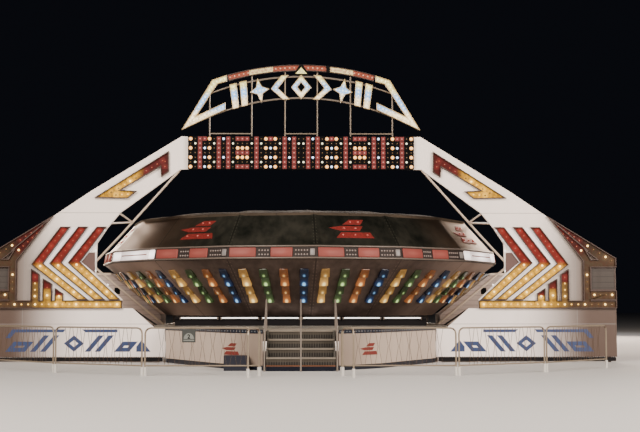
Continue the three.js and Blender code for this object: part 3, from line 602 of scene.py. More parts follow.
# %% Edges, shading and UV
def soften(piece, width, segments=2, angle=40):
    """Rounds the piece's sharp edges with a bevel that is applied at once."""
    take(piece)
    bevel = piece.modifiers.new("soften", "BEVEL")
    bevel.width = width
    bevel.segments = segments
    bevel.limit_method = "ANGLE"
    bevel.angle_limit = math.radians(angle)
    bpy.ops.object.modifier_apply(modifier=bevel.name)
    return piece


def smooth(piece, angle=40):
    take(piece)
    bpy.ops.object.shade_smooth_by_angle(angle=math.radians(angle))
    return piece


def own_uv(piece):
    """A UV map in metres from the piece's own middle: u along X, v along Z."""
    mesh = piece.data
    layer = mesh.uv_layers.active.data
    for loop in mesh.loops:
        spot = mesh.vertices[loop.vertex_index].co
        layer[loop.index].uv = (spot.x, spot.z)
    return piece


# %% Joining and copying
def fuse(*pieces):
    """Several pieces become one object."""
    clear_selection()
    for piece in pieces:
        piece.select_set(True)
    bpy.context.view_layer.objects.active = pieces[0]
    bpy.ops.object.join()
    return bpy.context.object


def twin(model):
    """A copy of an object with a mesh of its own."""
    copied = model.copy()
    copied.data = model.data.copy()
    bpy.context.collection.objects.link(copied)
    return copied


def copies(model, places):
    """The model copied to each place, as one object; the model itself goes away."""
    made = []
    for place in places:
        made.append(twin(model))
        made[-1].data.transform(place)
    bpy.data.objects.remove(model)
    return fuse(*made)


def done(piece, name, material, body="base"):
    """Names and paints a finished piece, and lets it ride on its body."""
    piece.name = name
    piece.data.name = name
    if material is not None:
        piece.data.materials.clear()
        piece.data.materials.append(material)
    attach(piece, body)
    print(name, len(piece.data.polygons), "faces")
    return piece


# %% [markdown]
# ## Lamp trays
# The arrow, the chevrons, the crown and the letters' places on the sign are folded steel
# trays: a dark lip round a coloured floor on which the bulbs stand. A copy of the solid
# keeps its outline. Its front face is inset twice, and the inner face is pushed back.

# %% A tray from a light box
TRAY_DEPTH = 0.05
LIP = 0.022
TRAY_WALL = 0.004
SAME_POINT = 0.00005


def tray(node, floor, lip, back=None, depth=TRAY_DEPTH, lip_width=LIP):
    """A light box with its front faces set back inside a lip; it stands for the solid."""
    piece = twin(nodes[node])
    for key in list(piece.keys()):
        del piece[key]
    piece.parent = None
    piece.matrix_world = Matrix.Identity(4)
    piece.data.materials.clear()
    for material in (lip, floor, back or lip):
        piece.data.materials.append(material)
    edit(piece)
    bpy.ops.mesh.remove_doubles(threshold=SAME_POINT)
    leave_edit()
    front = min(v.co.y for v in piece.data.vertices) + 0.001
    pick_faces(piece, lambda face: face.normal.y < -0.99 and face.center.y > front)
    piece.active_material_index = 2
    bpy.ops.object.material_slot_assign()
    leave_edit()
    pick_faces(piece, lambda face: face.normal.y < -0.99 and face.center.y < front)
    for thickness in (lip_width, TRAY_WALL):
        bpy.ops.mesh.inset(thickness=thickness, depth=0, use_boundary=True, use_even_offset=True)
    bpy.ops.transform.translate(value=(0, depth, 0))
    piece.active_material_index = 1
    bpy.ops.object.material_slot_assign()
    leave_edit()
    done(piece, f"{node}_tray", None)
    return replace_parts(piece, node)


# %% Rows of bulbs on a wing
CHEVRONS = [(5.463, 6.537, 6.190, 2.781, 5.050), (5.982, 7.058, 6.710, 2.760, 5.478),
            (6.478, 7.556, 7.221, 2.736, 5.946)]
chevron_heads = []
chevron_feet = []
for top, tip, hollow, tip_z, foot in CHEVRONS:
    knee = ((tip + hollow) / 2, tip_z + 0.012)
    chevron_heads.append(((top + 0.155, 3.76), knee))
    chevron_feet.append((knee, (foot + 0.175, 1.78)))
CHEVRON_ROWS = chevron_heads + chevron_feet
ARROW_ROWS = [((3.85, 5.43), (3.84, 5.72)), ((3.84, 5.72), (5.05, 4.94)), ((5.05, 4.94), (5.45, 4.71)),
              ((5.30, 4.69), (4.80, 4.72))]
FRAME_ROWS = [((5.05, 1.618), (8.86, 1.618)), ((7.442, 1.76), (7.442, 2.47)), ((7.1, 1.76), (7.1, 2.2)),
              ((6.769, 1.76), (6.769, 1.93)), ((8.074, 2.55), (8.074, 1.95)), ((8.19, 1.887), (8.86, 1.887)),
              ((8.02, 3.32), (8.86, 2.8)), ((7.95, 3.37), (7.2, 3.87)), ((7.98, 3.08), (7.35, 3.66))]
print(len(CHEVRON_ROWS + ARROW_ROWS + FRAME_ROWS), "rows on each wing")

# %% Colours of the trays
RED = (0.115, 0.010, 0.007)
DEEP_RED = (0.075, 0.008, 0.007)
ARROW_RED = (0.056, 0.006, 0.006)
GOLD = (0.52, 0.27, 0.018)
GOLD_GLOW = (1.0, 0.58, 0.09)
# Painted shade: the frame's gold toward its outer end, and its pools of light there.
SHADED_GOLD = (0.050, 0.032, 0.018)
SHADED_GLOW = (0.105, 0.058, 0.024)
BAR_START = 6.60
BAR_STEP = 0.336
HEAD_FOOT = 1.85
HEAD_RISE = 0.19


def frame_gold(across, z):
    """Gold along the foot, red at the heads of the short bars and up the slope."""
    bars = across.rise(BAR_START - 0.05, BAR_START) * (1 - across.rise(7.7, 7.8))
    number = ((across - BAR_START) / BAR_STEP).floor()
    short_head = (z - number * HEAD_RISE).rise(HEAD_FOOT - 0.05, HEAD_FOOT + 0.05) * bars
    slope = z.rise(2.9, 3.2) * (1 - across.rise(7.85, 8.2))
    return 1 - short_head.most(slope)


def nowhere(across, z):
    return 0.0


def two_colours(rules, red, gold, dull):
    """A colour function: red or gold, the gold darkened by painted shade, and the whole darkened by painted
    shade, each by its rule.
    """
    def colour(face):
        x, y, z = face.axes()
        part, shaded_part, shade = [rule(abs(x), z) for rule in rules]
        return face.mix(shade, face.mix(part, red, face.mix(shaded_part, gold, dull)), (0, 0, 0))
    return colour


# %% Trays of the wings
SLOPE_BAR_FACE = -5.788
# The white backing between the chevrons gives off a little painted light, for the bulbs' light on it.
backing_white = sheet_paint("backing_white", (0.97, 0.90, 0.90), dirt=0.06, glow=0.16)
brown_lip = sheet_paint("brown_lip", (0.045, 0.020, 0.013), roughness=0.4, dirt=0.2)
BOXES = {
    "arrow_box": (
        (lambda across, z: across.rise(4.40, 4.70), nowhere, nowhere), ARROW_RED, ARROW_ROWS, 0.3, None),
    "chevron_boxes": (
        (lambda across, z: 1 - z.rise(2.58, 2.84), nowhere, nowhere), RED, CHEVRON_ROWS, 0.5, backing_white),
    # On the frame, the second rule is painted shade on the gold toward the outer end, and the third is
    # painted shade over the whole upper slope.
    "wing_lamp_frame": (
        (frame_gold, lambda across, z: across.rise(6.62, 7.70), lambda across, z: z.rise(2.9, 3.2) * 0.6),
        DEEP_RED, FRAME_ROWS, 0.45, None),
}
for word, (rules, red, rows, dim, back) in BOXES.items():
    colours = two_colours(rules, red, GOLD, SHADED_GOLD)
    glow = two_colours(rules, scaled(red, 2.4), GOLD_GLOW, SHADED_GLOW)
    face = box_face(f"{word}_face", colours, glow, rows, dim=dim)
    for side in ("left", "right"):
        slot = "gold_light" if word == "wing_lamp_frame" else "red_light"
        tray(f"{word}_{side}", face, brown_lip, back)
slope_line = [(8.101, 3.109), (8.119, 3.131), (7.029, 4.066), (7.011, 4.044)]
done(fuse(*pair(slope_line, SLOPE_BAR_FACE, 0.045)), "frame_slope_bars", brown_lip)

# %% [markdown]
# ## Colours of the sign
# The sign's boxes are lit from behind in bands that follow the arch: pale yellow on top,
# light blue through the middle and warm white at the foot. The height above the arch's
# own centre gives the band. The crown over them changes between red and cream.

# %% The sign's trays
SIGN_CENTRE = 0.950
ROW_FOOT = 6.490
ROW_HEIGHT = 0.697
YELLOW_CREAM = (0.74, 0.70, 0.27)
PALE_BLUE = (0.26, 0.52, 0.95)
WARM_WHITE = (0.92, 0.78, 0.48)


def bands(face, height, low, high):
    upper = face.mix(height.rise(high - 0.12, high + 0.12), PALE_BLUE, YELLOW_CREAM)
    return face.mix(height.rise(low - 0.12, low + 0.12), WARM_WHITE, upper)


def row_colours(face):
    x, y, z = face.axes()
    above = z - SIGN_CENTRE
    height = ((x * x + above * above) ** 0.5 - ROW_FOOT) / ROW_HEIGHT
    return bands(face, height, 0.36, 0.74)


def fin_colours(face):
    return bands(face, face.axes()[2], 7.08, 7.58)


def crown_colours(face):
    cream_part = abs(face.axes()[0]).near(1.14, 0.33, soft=0.04)
    return face.mix(cream_part, (0.24, 0.060, 0.036), (0.70, 0.57, 0.28))


gold_lip = sheet_paint("gold_lip", (0.50, 0.36, 0.17), roughness=0.35, dirt=0.2)
sign_back = sheet_paint("sign_back", (0.12, 0.095, 0.075), roughness=0.6, dirt=0.3)
row_face = box_face("row_face", row_colours, strength=1.1, low=0.9)
fin_face = box_face("fin_face", fin_colours, strength=1.1, low=0.9)
crown_face = box_face("crown_face", crown_colours, strength=0.8, low=0.45)
tray("sign_row", row_face, gold_lip, back=sign_back, depth=0.03, lip_width=0.012)
tray("sign_crown", crown_face, brown_lip, depth=0.03, lip_width=0.014)
for side in ("left", "right"):
    tray(f"sign_fin_{side}", fin_face, gold_lip, depth=0.03, lip_width=0.014)

# %% [markdown]
# ## Bulbs
# One bulb is a squashed ball of few faces, because there are hundreds. Rows of them follow
# the middle of each tray, so a small function spaces points evenly along a line. Each kind
# has its glass: a colour at the rim, a paler core, a strength, and for tubes a wide reach.

# %% One bulb and rows of them
def bulb(radius, flat=0.7, sides=10, rings=6):
    """A small round bulb at the origin, a little flattened toward the front."""
    clear_selection()
    bpy.ops.mesh.primitive_uv_sphere_add(segments=sides, ring_count=rings, radius=radius)
    ball = bpy.context.object
    ball.rotation_euler = (math.radians(90), 0, 0)
    settle(ball)
    ball.scale = (1, flat, 1)
    settle(ball)
    bpy.ops.object.shade_smooth()
    return own_uv(ball)


def small_bulb(radius):
    """A bulb with fewer faces, for the small ones."""
    return bulb(radius, sides=8, rings=4)


def along(start, end, pitch):
    """Points spaced evenly along a row in X and Z, half a step in from its ends."""
    length, step = row_step(start, end, pitch)
    shares = [(k + 0.5) * step / length for k in range(round(length / step))]
    return [(start[0] + (end[0] - start[0]) * t, start[1] + (end[1] - start[1]) * t) for t in shares]


# %% Glass of each kind of bulb
GLASSES = {
    "bright_bulb": ((1.0, 0.58, 0.12), (1.0, 0.82, 0.40), 2.6),
    "dim_bulb": ((0.85, 0.46, 0.08), (1.0, 0.70, 0.22), 0.9),
    "red_bulb": ((0.24, 0.045, 0.025), (0.55, 0.17, 0.09), 0.4),
    "dull_bulb": ((0.14, 0.075, 0.025), (0.34, 0.20, 0.08), 0.25),
    "sign_bulb": ((1.0, 0.84, 0.55), (1.0, 0.95, 0.80), 1.7),
    "crown_bulb": ((0.50, 0.22, 0.14), (0.85, 0.55, 0.38), 0.6),
    "cream_bulb": ((0.92, 0.42, 0.12), (1.0, 0.78, 0.40), 1.8),
    "blue_bulb": ((0.42, 0.62, 1.0), (0.88, 0.94, 1.0), 2.6),
    "pale_bulb": ((0.70, 0.70, 0.42), (1.0, 0.98, 0.78), 2.0),
    "rim_bulb": ((0.15, 0.115, 0.10), (0.36, 0.28, 0.24), 0.5),
    "emblem_lamp": ((0.30, 0.050, 0.040), (0.56, 0.19, 0.14), 0.4),
    "stud_glow": ((0.10, 0.105, 0.11), (0.20, 0.21, 0.22), 0.4),
    "edge_lamp": ((0.9, 0.85, 0.80), (1.0, 0.98, 0.95), 3.0),
    "tube_glow": ((1.0, 0.93, 0.86), (1.0, 0.98, 0.95), 2.2, 4.0),
}
glass = {name: bulb_glass(name, *look) for name, look in GLASSES.items()}
print(len(glass), "kinds of glass")

# %% Bulbs on the wings
WING_FACE = -5.7003
BOX_FACE = WING_FACE - 0.09
BULB_Y = BOX_FACE + TRAY_DEPTH - 0.012


def shift(x, z, y=BULB_Y):
    return Matrix.Translation((x, y, z))


wing_spots = {"bright": [], "dim": [], "dull": [], "red": []}
for start, end in CHEVRON_ROWS + ARROW_ROWS + FRAME_ROWS:
    for number, (x, z) in enumerate(along(start, end, BULB_PITCH)):
        head = HEAD_FOOT + 0.03 + HEAD_RISE * math.floor((x - BAR_START) / BAR_STEP)
        short_head = z > head and BAR_START < x < 7.6 and (start, end) in FRAME_ROWS
        slope = z > 3.2 and 7.1 < x < 8.0
        in_red = (start, end) in chevron_heads or short_head or slope or z > 4.4 and x < 4.5
        in_arrow = (start, end) in ARROW_ROWS
        unlit = in_arrow and not 4.75 < x < 5.1 or x > 7.9 and number % CHASE
        lit = "dim" if number % CHASE else "bright"
        wing_spots["red" if in_red else "dull" if unlit else lit] += [shift(x, z), shift(-x, z)]
for kind, radius in (("bright", 0.034), ("dim", 0.028), ("dull", 0.024), ("red", 0.022)):
    slot = "red_light" if kind == "red" else "gold_light"
    done(copies(bulb(radius), wing_spots[kind]), f"wing_{kind}_bulbs", glass[f"{kind}_bulb"])

# %% [markdown]
# ## Bulbs of the sign
# The row's boxes lie on an arch, so their bulbs are set out on a flat strip first, across
# from -1 to 1 and up from 0 to 1, and then bent: across becomes an angle and up a radius.

# %% Bulbs on the sign
ROW_PITCH = 0.087
ROW_FILL = 0.47
ROW_PATHS = [
    [[(0, 0.86), (0.72, 0.5), (0, 0.14), (-0.72, 0.5), (0, 0.86)]],
    [[(-0.55, 0.95), (0.6, 0.5), (-0.55, 0.05)]],
    [[(0, 0.9), (0, 0.1)], [(-0.85, 0.5), (0.85, 0.5)]],
    [[(-0.7, 0.95), (-0.3, 0.05)], [(0.3, 0.95), (0.7, 0.05)]],
]
FIN_PATHS = [[(2.12, 8.03), (2.455, 7.926), (3.18, 6.75)], [(3.10, 6.79), (2.17, 7.23)]]
SIGN_FACE = BOX_FACE + 0.03 - 0.008
CROWN_MIDDLE = 7.390
CROWN_HALF = 0.277
CROWN_BULBS = 32
SIGN_PITCH = 0.105
FIN_PITCH = 0.12


def on_arch(angle, radius):
    return (radius * math.sin(angle), SIGN_CENTRE + radius * math.cos(angle))


def bent(index, point):
    """A point of the flat strip, as X and Z on the arch."""
    hand = -1 if index < 0 else 1
    return on_arch(ROW_PITCH * (index + hand * point[0] * ROW_FILL), ROW_FOOT + ROW_HEIGHT * point[1])


def follow(path, pitch):
    rows = [along(start, end, pitch) for start, end in zip(path, path[1:])]
    return [shift(x, z, SIGN_FACE) for row in rows for x, z in row]


sign_spots = []
for index in range(-3, 4):
    for path in ROW_PATHS[abs(index)]:
        sign_spots += follow([bent(index, point) for point in path], SIGN_PITCH)
for side in (-1, 1):
    for path in FIN_PATHS:
        sign_spots += follow(mirrored(path, side), FIN_PITCH)
crown_spots = []
for n in range(CROWN_BULBS):
    angle = (2 * n / (CROWN_BULBS - 1) - 1) * CROWN_HALF
    crown_spots.append(shift(*on_arch(angle, CROWN_MIDDLE), SIGN_FACE))
done(copies(small_bulb(0.022), sign_spots), "sign_bulbs", glass["sign_bulb"])
done(copies(small_bulb(0.026), crown_spots), "crown_bulbs", glass["crown_bulb"])

# %% Crown dividers and finial
divider_line = [(0.71, 8.20), (0.82, 8.19), (0.82, 8.385), (0.71, 8.40)]
gap_line = [(-0.21, 8.15), (0.21, 8.15), (0.05, 8.42), (-0.05, 8.42)]
dividers = [plate(line, WING_FACE - 0.096, 0.03) for line in (divider_line, gap_line)]
done(fuse(*dividers), "crown_dividers", board_black)
finial = plate([(-0.163, 8.162), (0.163, 8.162), (0.0, 8.34)], WING_FACE - 0.12, 0.022)
done(soften(finial, 0.004), "crown_finial", fin_face)

# %% [markdown]
# ## The bulb board
# The board is a grid of seven rows and forty-eight columns. Each cell holds a red square
# lens, a large cream bulb, a small blue or pale one, or one that is out. Upright bars, short
# steps and rows of lamps decide which, the same both ways from the middle.

# %% Board grid
BOARD_HALF = 3.190
BOARD_FOOT = 5.433
BOARD_TOP = 6.360
BOARD_FACE = -5.79
COLUMNS = 48
ROWS = 7
PITCH_X = 2 * BOARD_HALF / COLUMNS
PITCH_Z = (BOARD_TOP - BOARD_FOOT) / ROWS
HALF_ORDER = ("lamps", "gap", "bar", "mixed", "lamps", "gap", "bar", "dots", "bar", "gap",
              "steps", "steps", "steps", "gap", "bar", "gap", "lamps", "mixed", "lamps", "gap",
              "bar", "dots", "bar", "gap")
KINDS = {
    "bar": {"red": range(7)},
    "gap": {"pale": (1, 5)},
    "dots": {"blue": (2, 6)},
    "lamps": {"cream": (0, 2, 4, 6)},
    "mixed": {"blue": (0, 2, 4), "red": (6,)},
    "steps": {"red": (0, 3, 6), "cream": (2, 4)},
}


def lamp_kind(column, row):
    """The lamp of a cell, from the kind of its column; the order runs out from the middle."""
    from_middle = min(column, COLUMNS - 1 - column)
    for lamp, rows in KINDS[HALF_ORDER[from_middle]].items():
        if row in rows:
            return lamp
    return "dull"


board_spots = {"red": [], "cream": [], "blue": [], "pale": [], "dull": []}
for column in range(COLUMNS):
    for row in range(ROWS):
        x = -BOARD_HALF + (column + 0.5) * PITCH_X
        board_spots[lamp_kind(column, row)].append(shift(x, BOARD_FOOT + (row + 0.5) * PITCH_Z, BOARD_FACE))
print({kind: len(found) for kind, found in board_spots.items()})


# %% Lenses and bulbs of the board
def square_lens(size, proud):
    """A square lens with a low pyramid front and soft edges, its back at Y 0."""
    lens = block(0, size / 2, -proud, 0, -size / 2, size / 2)
    pick_faces(lens, lambda face: face.normal.y < -0.9)
    bpy.ops.mesh.inset(thickness=size * 0.2, depth=0)
    bpy.ops.transform.translate(value=(0, -proud * 0.25, 0))
    leave_edit()
    return own_uv(lens)


red_lens = lens_plastic(
    "red_lens", (0.22, 0.020, 0.016), (1.0, 0.58, 0.48), 2.0, size=(0.032, 0.032), low=0.0, wall=0.3,
    roughness=0.7)
done(copies(square_lens(0.122, 0.014), board_spots["red"]), "board_red_lenses", red_lens)
for kind, radius, flat, slot in (
        ("cream", 0.054, 0.5, "lamp_white"), ("blue", 0.036, 0.7, "lamp_white"),
        ("pale", 0.030, 0.7, "lamp_white"), ("dull", 0.017, 0.7, "gold_light")):
    done(copies(bulb(radius, flat), board_spots[kind]), f"board_{kind}_bulbs", glass[f"{kind}_bulb"])

# %% Strips between the cells
STRIP_HALF = 0.005
strips = [block(-BOARD_HALF + n * PITCH_X, STRIP_HALF, BOARD_FACE - 0.02, BOARD_FACE, BOARD_FOOT, BOARD_TOP)
          for n in range(COLUMNS + 1)]
for n in range(ROWS + 1):
    z = BOARD_FOOT + n * PITCH_Z
    strips.append(block(0, BOARD_HALF, BOARD_FACE - 0.016, BOARD_FACE, z - STRIP_HALF, z + STRIP_HALF))
done(fuse(*strips), "board_strips", board_black)

# %% [markdown]
# ## Places on the drum
# Everything on the drum sits on one of sixteen flat panels that lean. A matrix does the
# placing: turn about the axis, step out to the wall, then lean. A part modelled upright at
# the origin, facing -Y, then lies flat on its panel.

# %% Walls and matrices
HALF_SIDE = math.cos(SIDE / 2)
FOOT = (4.400, 1.280)
KNUCKLE = (6.400, 2.870)
RIM_TOP = (6.300, 3.260)
EAVE = (5.450, 4.200)
RIM_FOOT_FACE = (6.420, 2.8703)
RIM_TOP_FACE = (6.3403, 3.260)


def wall_slope(low, high):
    """How far a panel's middle runs out and rises between two profile points, and its length."""
    run = (high[0] - low[0]) * HALF_SIDE
    rise = high[1] - low[1]
    return run, rise, math.hypot(run, rise)


def wall_place(k, low, high, up, aside=0.0, turn=0.0):
    """On panel k's wall between two profile points: up along it, aside to the right."""
    run, rise, length = wall_slope(low, high)
    radius = low[0] * HALF_SIDE + run * up / length
    z = low[1] + rise * up / length
    step = Matrix.Rotation(PHASE + (k + 0.5) * SIDE, 4, "Z") @ Matrix.Translation((0, -radius, z))
    tilt = Matrix.Rotation(math.atan2(run, rise), 4, "X")
    return step @ tilt @ Matrix.Translation((aside, 0, 0)) @ Matrix.Rotation(turn, 4, "Y")


print("lower panels are", round(wall_slope(FOOT, KNUCKLE)[2], 3), "m up the slope")

# %% [markdown]
# ## Lamp strips of the lower walls
# Each lower panel carries four strips, yellow, green, orange and blue, and each strip is a
# stack of four moulded cups, deep at the foot and thin at the head. The strips fan out
# with the panel, so each cup is turned a little and widens with its distance.

# %% One lens cup
CUP = {"width": 0.25, "height": 0.325, "head": 0.03, "foot": 0.10, "narrowed": 0.86, "slant": 0.04}


def lens_cup():
    """A wedge-shaped cup with rounded edges, its back at Y 0 and its middle at the origin."""
    tall = CUP["height"] / 2
    cup = block(0, CUP["width"] / 2, -CUP["head"], 0, -tall, tall)
    for vertex in cup.data.vertices:
        if vertex.co.z > 0:
            vertex.co.x *= CUP["narrowed"]
        elif vertex.co.y < -0.01:
            vertex.co.y = -CUP["foot"]
            vertex.co.z += CUP["slant"]
    soften(cup, 0.034, segments=3, angle=30)
    return own_uv(smooth(cup, 60))


# %% All the strips
STRIP_FOOT = 0.665
CUP_PITCH = 0.372
CUP_RADIUS = 5.4


def strip_places(position, steps):
    """The cups at some steps of the strip at a position, 0 to 3 from the left, on every panel."""
    run, rise, length = wall_slope(FOOT, KNUCKLE)
    aside = math.tan(((position + 0.5) / 4 - 0.5) * SIDE)
    fan = math.atan(aside * run / length)
    found = []
    for step in steps:
        up = STRIP_FOOT + (step + 0.5) * CUP_PITCH
        radius = FOOT[0] * HALF_SIDE + run * up / length
        widened = Matrix.Diagonal((radius / CUP_RADIUS, 1, 1, 1))
        found += [wall_place(k, FOOT, KNUCKLE, up, radius * aside, fan) @ widened for k in range(SIDES)]
    return found


LENS_TINTS = {
    "yellow": ((0.42, 0.225, 0.060), (1.0, 0.80, 0.34), 0.42),
    "green": ((0.036, 0.060, 0.020), (0.55, 0.78, 0.28), 0.30),
    "orange": ((0.24, 0.080, 0.024), (1.0, 0.62, 0.22), 0.42),
    "blue": ((0.006, 0.018, 0.055), (0.28, 0.60, 0.95), 0.12),
}
CUP_LIGHTS = (("", (0, 2), 2.4, (0.12, 0.17), 1.0), ("_dim", (1, 3), 1.1, (0.08, 0.10), 0.6))
for position, (colour, (tint, core, wall)) in enumerate(LENS_TINTS.items()):
    for ending, steps, strength, size, share in CUP_LIGHTS:
        plastic = lens_plastic(f"{colour}_lens{ending}", tint, core, strength, size=size, wall=wall * share)
        cups = copies(lens_cup(), strip_places(position, steps))
        done(cups, f"lens_strips_{colour}{ending}", plastic, "drum")

# %% [markdown]
# ## The rim band
# Round the widest part of the drum runs a band between two bright tubes. Most panels have
# two long red lenses, stretches of small lamps in two rows between them, and one white
# square lamp at the right-hand joint. Four panels are white, with a thin red line.

# %% Places and lenses of the rim
RIM_WIDTH = 2 * RIM_FOOT_FACE[0] * math.sin(SIDE / 2)
RIM_HEIGHT = 0.39
WHITE_PANELS = (2, 5, 10, 13)
RED_PANELS = [k for k in range(SIDES) if k not in WHITE_PANELS]


def rim_places(start, end, panels, up=RIM_HEIGHT / 2):
    aside = ((start + end) / 2 - 0.5) * RIM_WIDTH
    return [wall_place(k, RIM_FOOT_FACE, RIM_TOP_FACE, up, aside) for k in panels]


def rim_lenses(name, start, end, plastic, panels, height=0.27, proud=0.05):
    """Lenses with rounded edges between two shares of a panel's width, on some panels."""
    lens = block(0, (end - start) * RIM_WIDTH / 2, -proud, 0, -height / 2, height / 2)
    soften(lens, min(proud, height / 2) * 0.6, segments=3)
    own_uv(smooth(lens, 50))
    done(copies(lens, rim_places(start, end, panels)), name, plastic, "drum")


# %% Rim lenses and lamps
RED_SPANS = ((0.025, 0.325), (0.49, 0.735))
WHITE_SPANS = ((0.02, 0.19), (0.21, 0.85), (0.87, 0.985))
rim_red = lens_plastic(
    "rim_red", (0.33, 0.060, 0.044), (0.44, 0.110, 0.080), 0.7, size=(0.5, 0.14), low=0.0, wall=0.55,
    roughness=0.7)
rim_white = lens_plastic(
    "rim_white", (0.80, 0.68, 0.64), (1.0, 0.92, 0.88), 3.6, size=(0.6, 0.2), low=0.0, wall=0.6)
joint_white = lens_plastic(
    "joint_white", (0.26, 0.22, 0.20), (0.36, 0.32, 0.30), 0.7, low=0.0, wall=0.6, roughness=0.5)
for number, (start, end) in enumerate(RED_SPANS, 1):
    rim_lenses(f"rim_red_lenses_{number}", start, end, rim_red, RED_PANELS)
for number, (start, end) in enumerate(WHITE_SPANS, 1):
    rim_lenses(f"rim_white_lenses_{number}", start, end, rim_white, WHITE_PANELS)
rim_lenses("rim_red_lines", 0.23, 0.83, rim_red, WHITE_PANELS, 0.035, 0.055)
rim_lenses("rim_joint_lamps", 0.93, 0.985, joint_white, RED_PANELS, 0.2, 0.045)

# %% Small lamps of the rim in two rows
LAMP_SPANS = ((0.345, 0.475), (0.755, 0.915))
LAMP_ROWS = (0.135, 0.255)
LAMP_PITCH = 0.085
small_places = []
for start, end in LAMP_SPANS:
    count = round((end - start) * RIM_WIDTH / LAMP_PITCH)
    for n in range(count):
        share = start + (end - start) * (n + 0.5) / count
        for up in LAMP_ROWS:
            small_places += rim_places(share, share, RED_PANELS, up)
done(copies(small_bulb(0.028), small_places), "rim_small_lamps", glass["rim_bulb"], "drum")


# %% Bright tubes above and below the band
def rim_tube(radius, z, thick=0.026):
    """A sixteen-sided ring of tube whose corners fall on the panel joints."""
    clear_selection()
    bpy.ops.mesh.primitive_torus_add(
        major_segments=SIDES, minor_segments=10, major_radius=radius, minor_radius=thick,
        location=(0, 0, z), rotation=(0, 0, PHASE))
    return smooth(settle(bpy.context.object), 50)


bright_metal = tube_paint("bright_trim", (0.15, 0.12, 0.10), chipped=(0.09, 0.07, 0.06))
trim_tubes = fuse(rim_tube(6.437, 2.905), rim_tube(6.366, 3.236))
done(trim_tubes, "rim_trim_tubes", bright_metal, "drum")

# %% [markdown]
# ## Lamp tubes under the drum
# At the back of the deck a row of fluorescent tubes lights the drum from below. Each tube
# has two end caps, and each cap is held by a bracket on a black bar.

# %% Fluorescent tubes
BAR_FACE = -4.521
TUBE_Y = -4.56
TUBE_Z = 1.225
TUBES = 6
TUBE_SPAN = 7.1
tube_pieces = []
cap_pieces = []
for n in range(TUBES):
    start = -TUBE_SPAN / 2 + n * TUBE_SPAN / TUBES + 0.05
    end = start + TUBE_SPAN / TUBES - 0.1
    tube_pieces.append(rod((start, TUBE_Y, TUBE_Z), (end, TUBE_Y, TUBE_Z), 0.019, 16))
    for x in (start, end):
        cap_pieces.append(rod((x - 0.022, TUBE_Y, TUBE_Z), (x + 0.022, TUBE_Y, TUBE_Z), 0.024, 16))
        cap_pieces.append(block(x, 0.02, TUBE_Y, BAR_FACE, TUBE_Z - 0.05, TUBE_Z + 0.02))
done(own_uv(smooth(fuse(*tube_pieces))), "lamp_tubes", glass["tube_glow"])
done(soften(fuse(*cap_pieces), 0.004), "lamp_tube_caps", bright_metal)

# %% [markdown]
# ## Canvas roof
# The roof is one cloth stretched over sixteen rafters that run from the hub to the panel
# joints. Between the rafters it sags, and at the eave it turns down as a short hem. A disc
# with many rings is shaped by each point's distance and angle, then given its thickness.

# %% Canvas over its rafters
ROOF_RADIUS = 5.49
ROOF_RINGS = 18
HEM = 0.12
APEX_Z = 4.745
EAVE_Z = 4.235
SAG = 0.060

clear_selection()
bpy.ops.mesh.primitive_circle_add(vertices=SIDES * 8, radius=ROOF_RADIUS + HEM, fill_type="NGON")
canvas_roof = bpy.context.object
edit(canvas_roof)
for ring in range(ROOF_RINGS):
    bpy.ops.mesh.inset(thickness=HEM / 2 if ring < 2 else 0.33, depth=0, use_even_offset=True)
bpy.ops.mesh.poke()
leave_edit()
for vertex in canvas_roof.data.vertices:
    spot = vertex.co
    distance = math.hypot(spot.x, spot.y)
    from_rafter = abs((math.atan2(spot.x, -spot.y) - PHASE + SIDE / 2) % SIDE - SIDE / 2)
    flat_side = HALF_SIDE / math.cos(SIDE / 2 - from_rafter)
    share = min(1.0, distance / ROOF_RADIUS)
    hang = max(0.0, distance - ROOF_RADIUS)
    over_rafter = math.exp(-from_rafter * from_rafter / 0.0045)
    rise = SAG * (2 * over_rafter - 1) * math.sin(math.pi * share ** 3) ** 0.8
    scale = share * ROOF_RADIUS * flat_side / max(distance, 0.001)
    spot.x *= scale
    spot.y *= scale
    spot.z = APEX_Z - (APEX_Z - EAVE_Z) * share + rise - hang * 0.95
take(canvas_roof)
thicken = canvas_roof.modifiers.new("thicken", "SOLIDIFY")
thicken.thickness = 0.004
bpy.ops.object.modifier_apply(modifier=thicken.name)
canvas = canvas_cloth("tan_canvas", (0.062, 0.045, 0.031), (0.021, 0.016, 0.012))
done(smooth(canvas_roof, 50), "canvas_roof", canvas, "drum")
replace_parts(canvas_roof, "drum_roof")

# %% [markdown]
# ## Emblems
# Every second panel of the upper wall carries a red emblem: three swept bars, one above
# the other, with small lamps in them. The same shape, smaller, stands on the deck's skirt.

# %% Emblem plates and their lamps
SWEPT_BARS = [
    [(-0.27, 0.15), (0.22, 0.15), (0.33, 0.33), (-0.06, 0.33)],
    [(-0.66, 0.03), (-0.37, -0.07), (0.16, -0.07), (0.27, 0.10), (-0.31, 0.10)],
    [(-0.52, -0.33), (0.50, -0.33), (0.42, -0.13), (-0.36, -0.13)],
]
EMBLEM_LAMPS = [(-0.05, 0.265), (0.18, 0.265), (-0.28, 0.017), (0.06, 0.017),
                (-0.36, -0.253), (0.0, -0.253), (0.36, -0.253)]


def emblem(scale, thick):
    """The emblem upright at the origin, its back at Y 0."""
    bars = [plate([(x * scale, z * scale) for x, z in points], -thick, thick) for points in SWEPT_BARS]
    return soften(fuse(*bars), thick * 0.3, segments=1)


middle = wall_slope(RIM_TOP, EAVE)[2] * 0.52
emblem_places = [wall_place(k, RIM_TOP, EAVE, middle) for k in range(0, SIDES, 2)]
lamp_places = [place @ shift(x, z, -0.024) for place in emblem_places for x, z in EMBLEM_LAMPS]
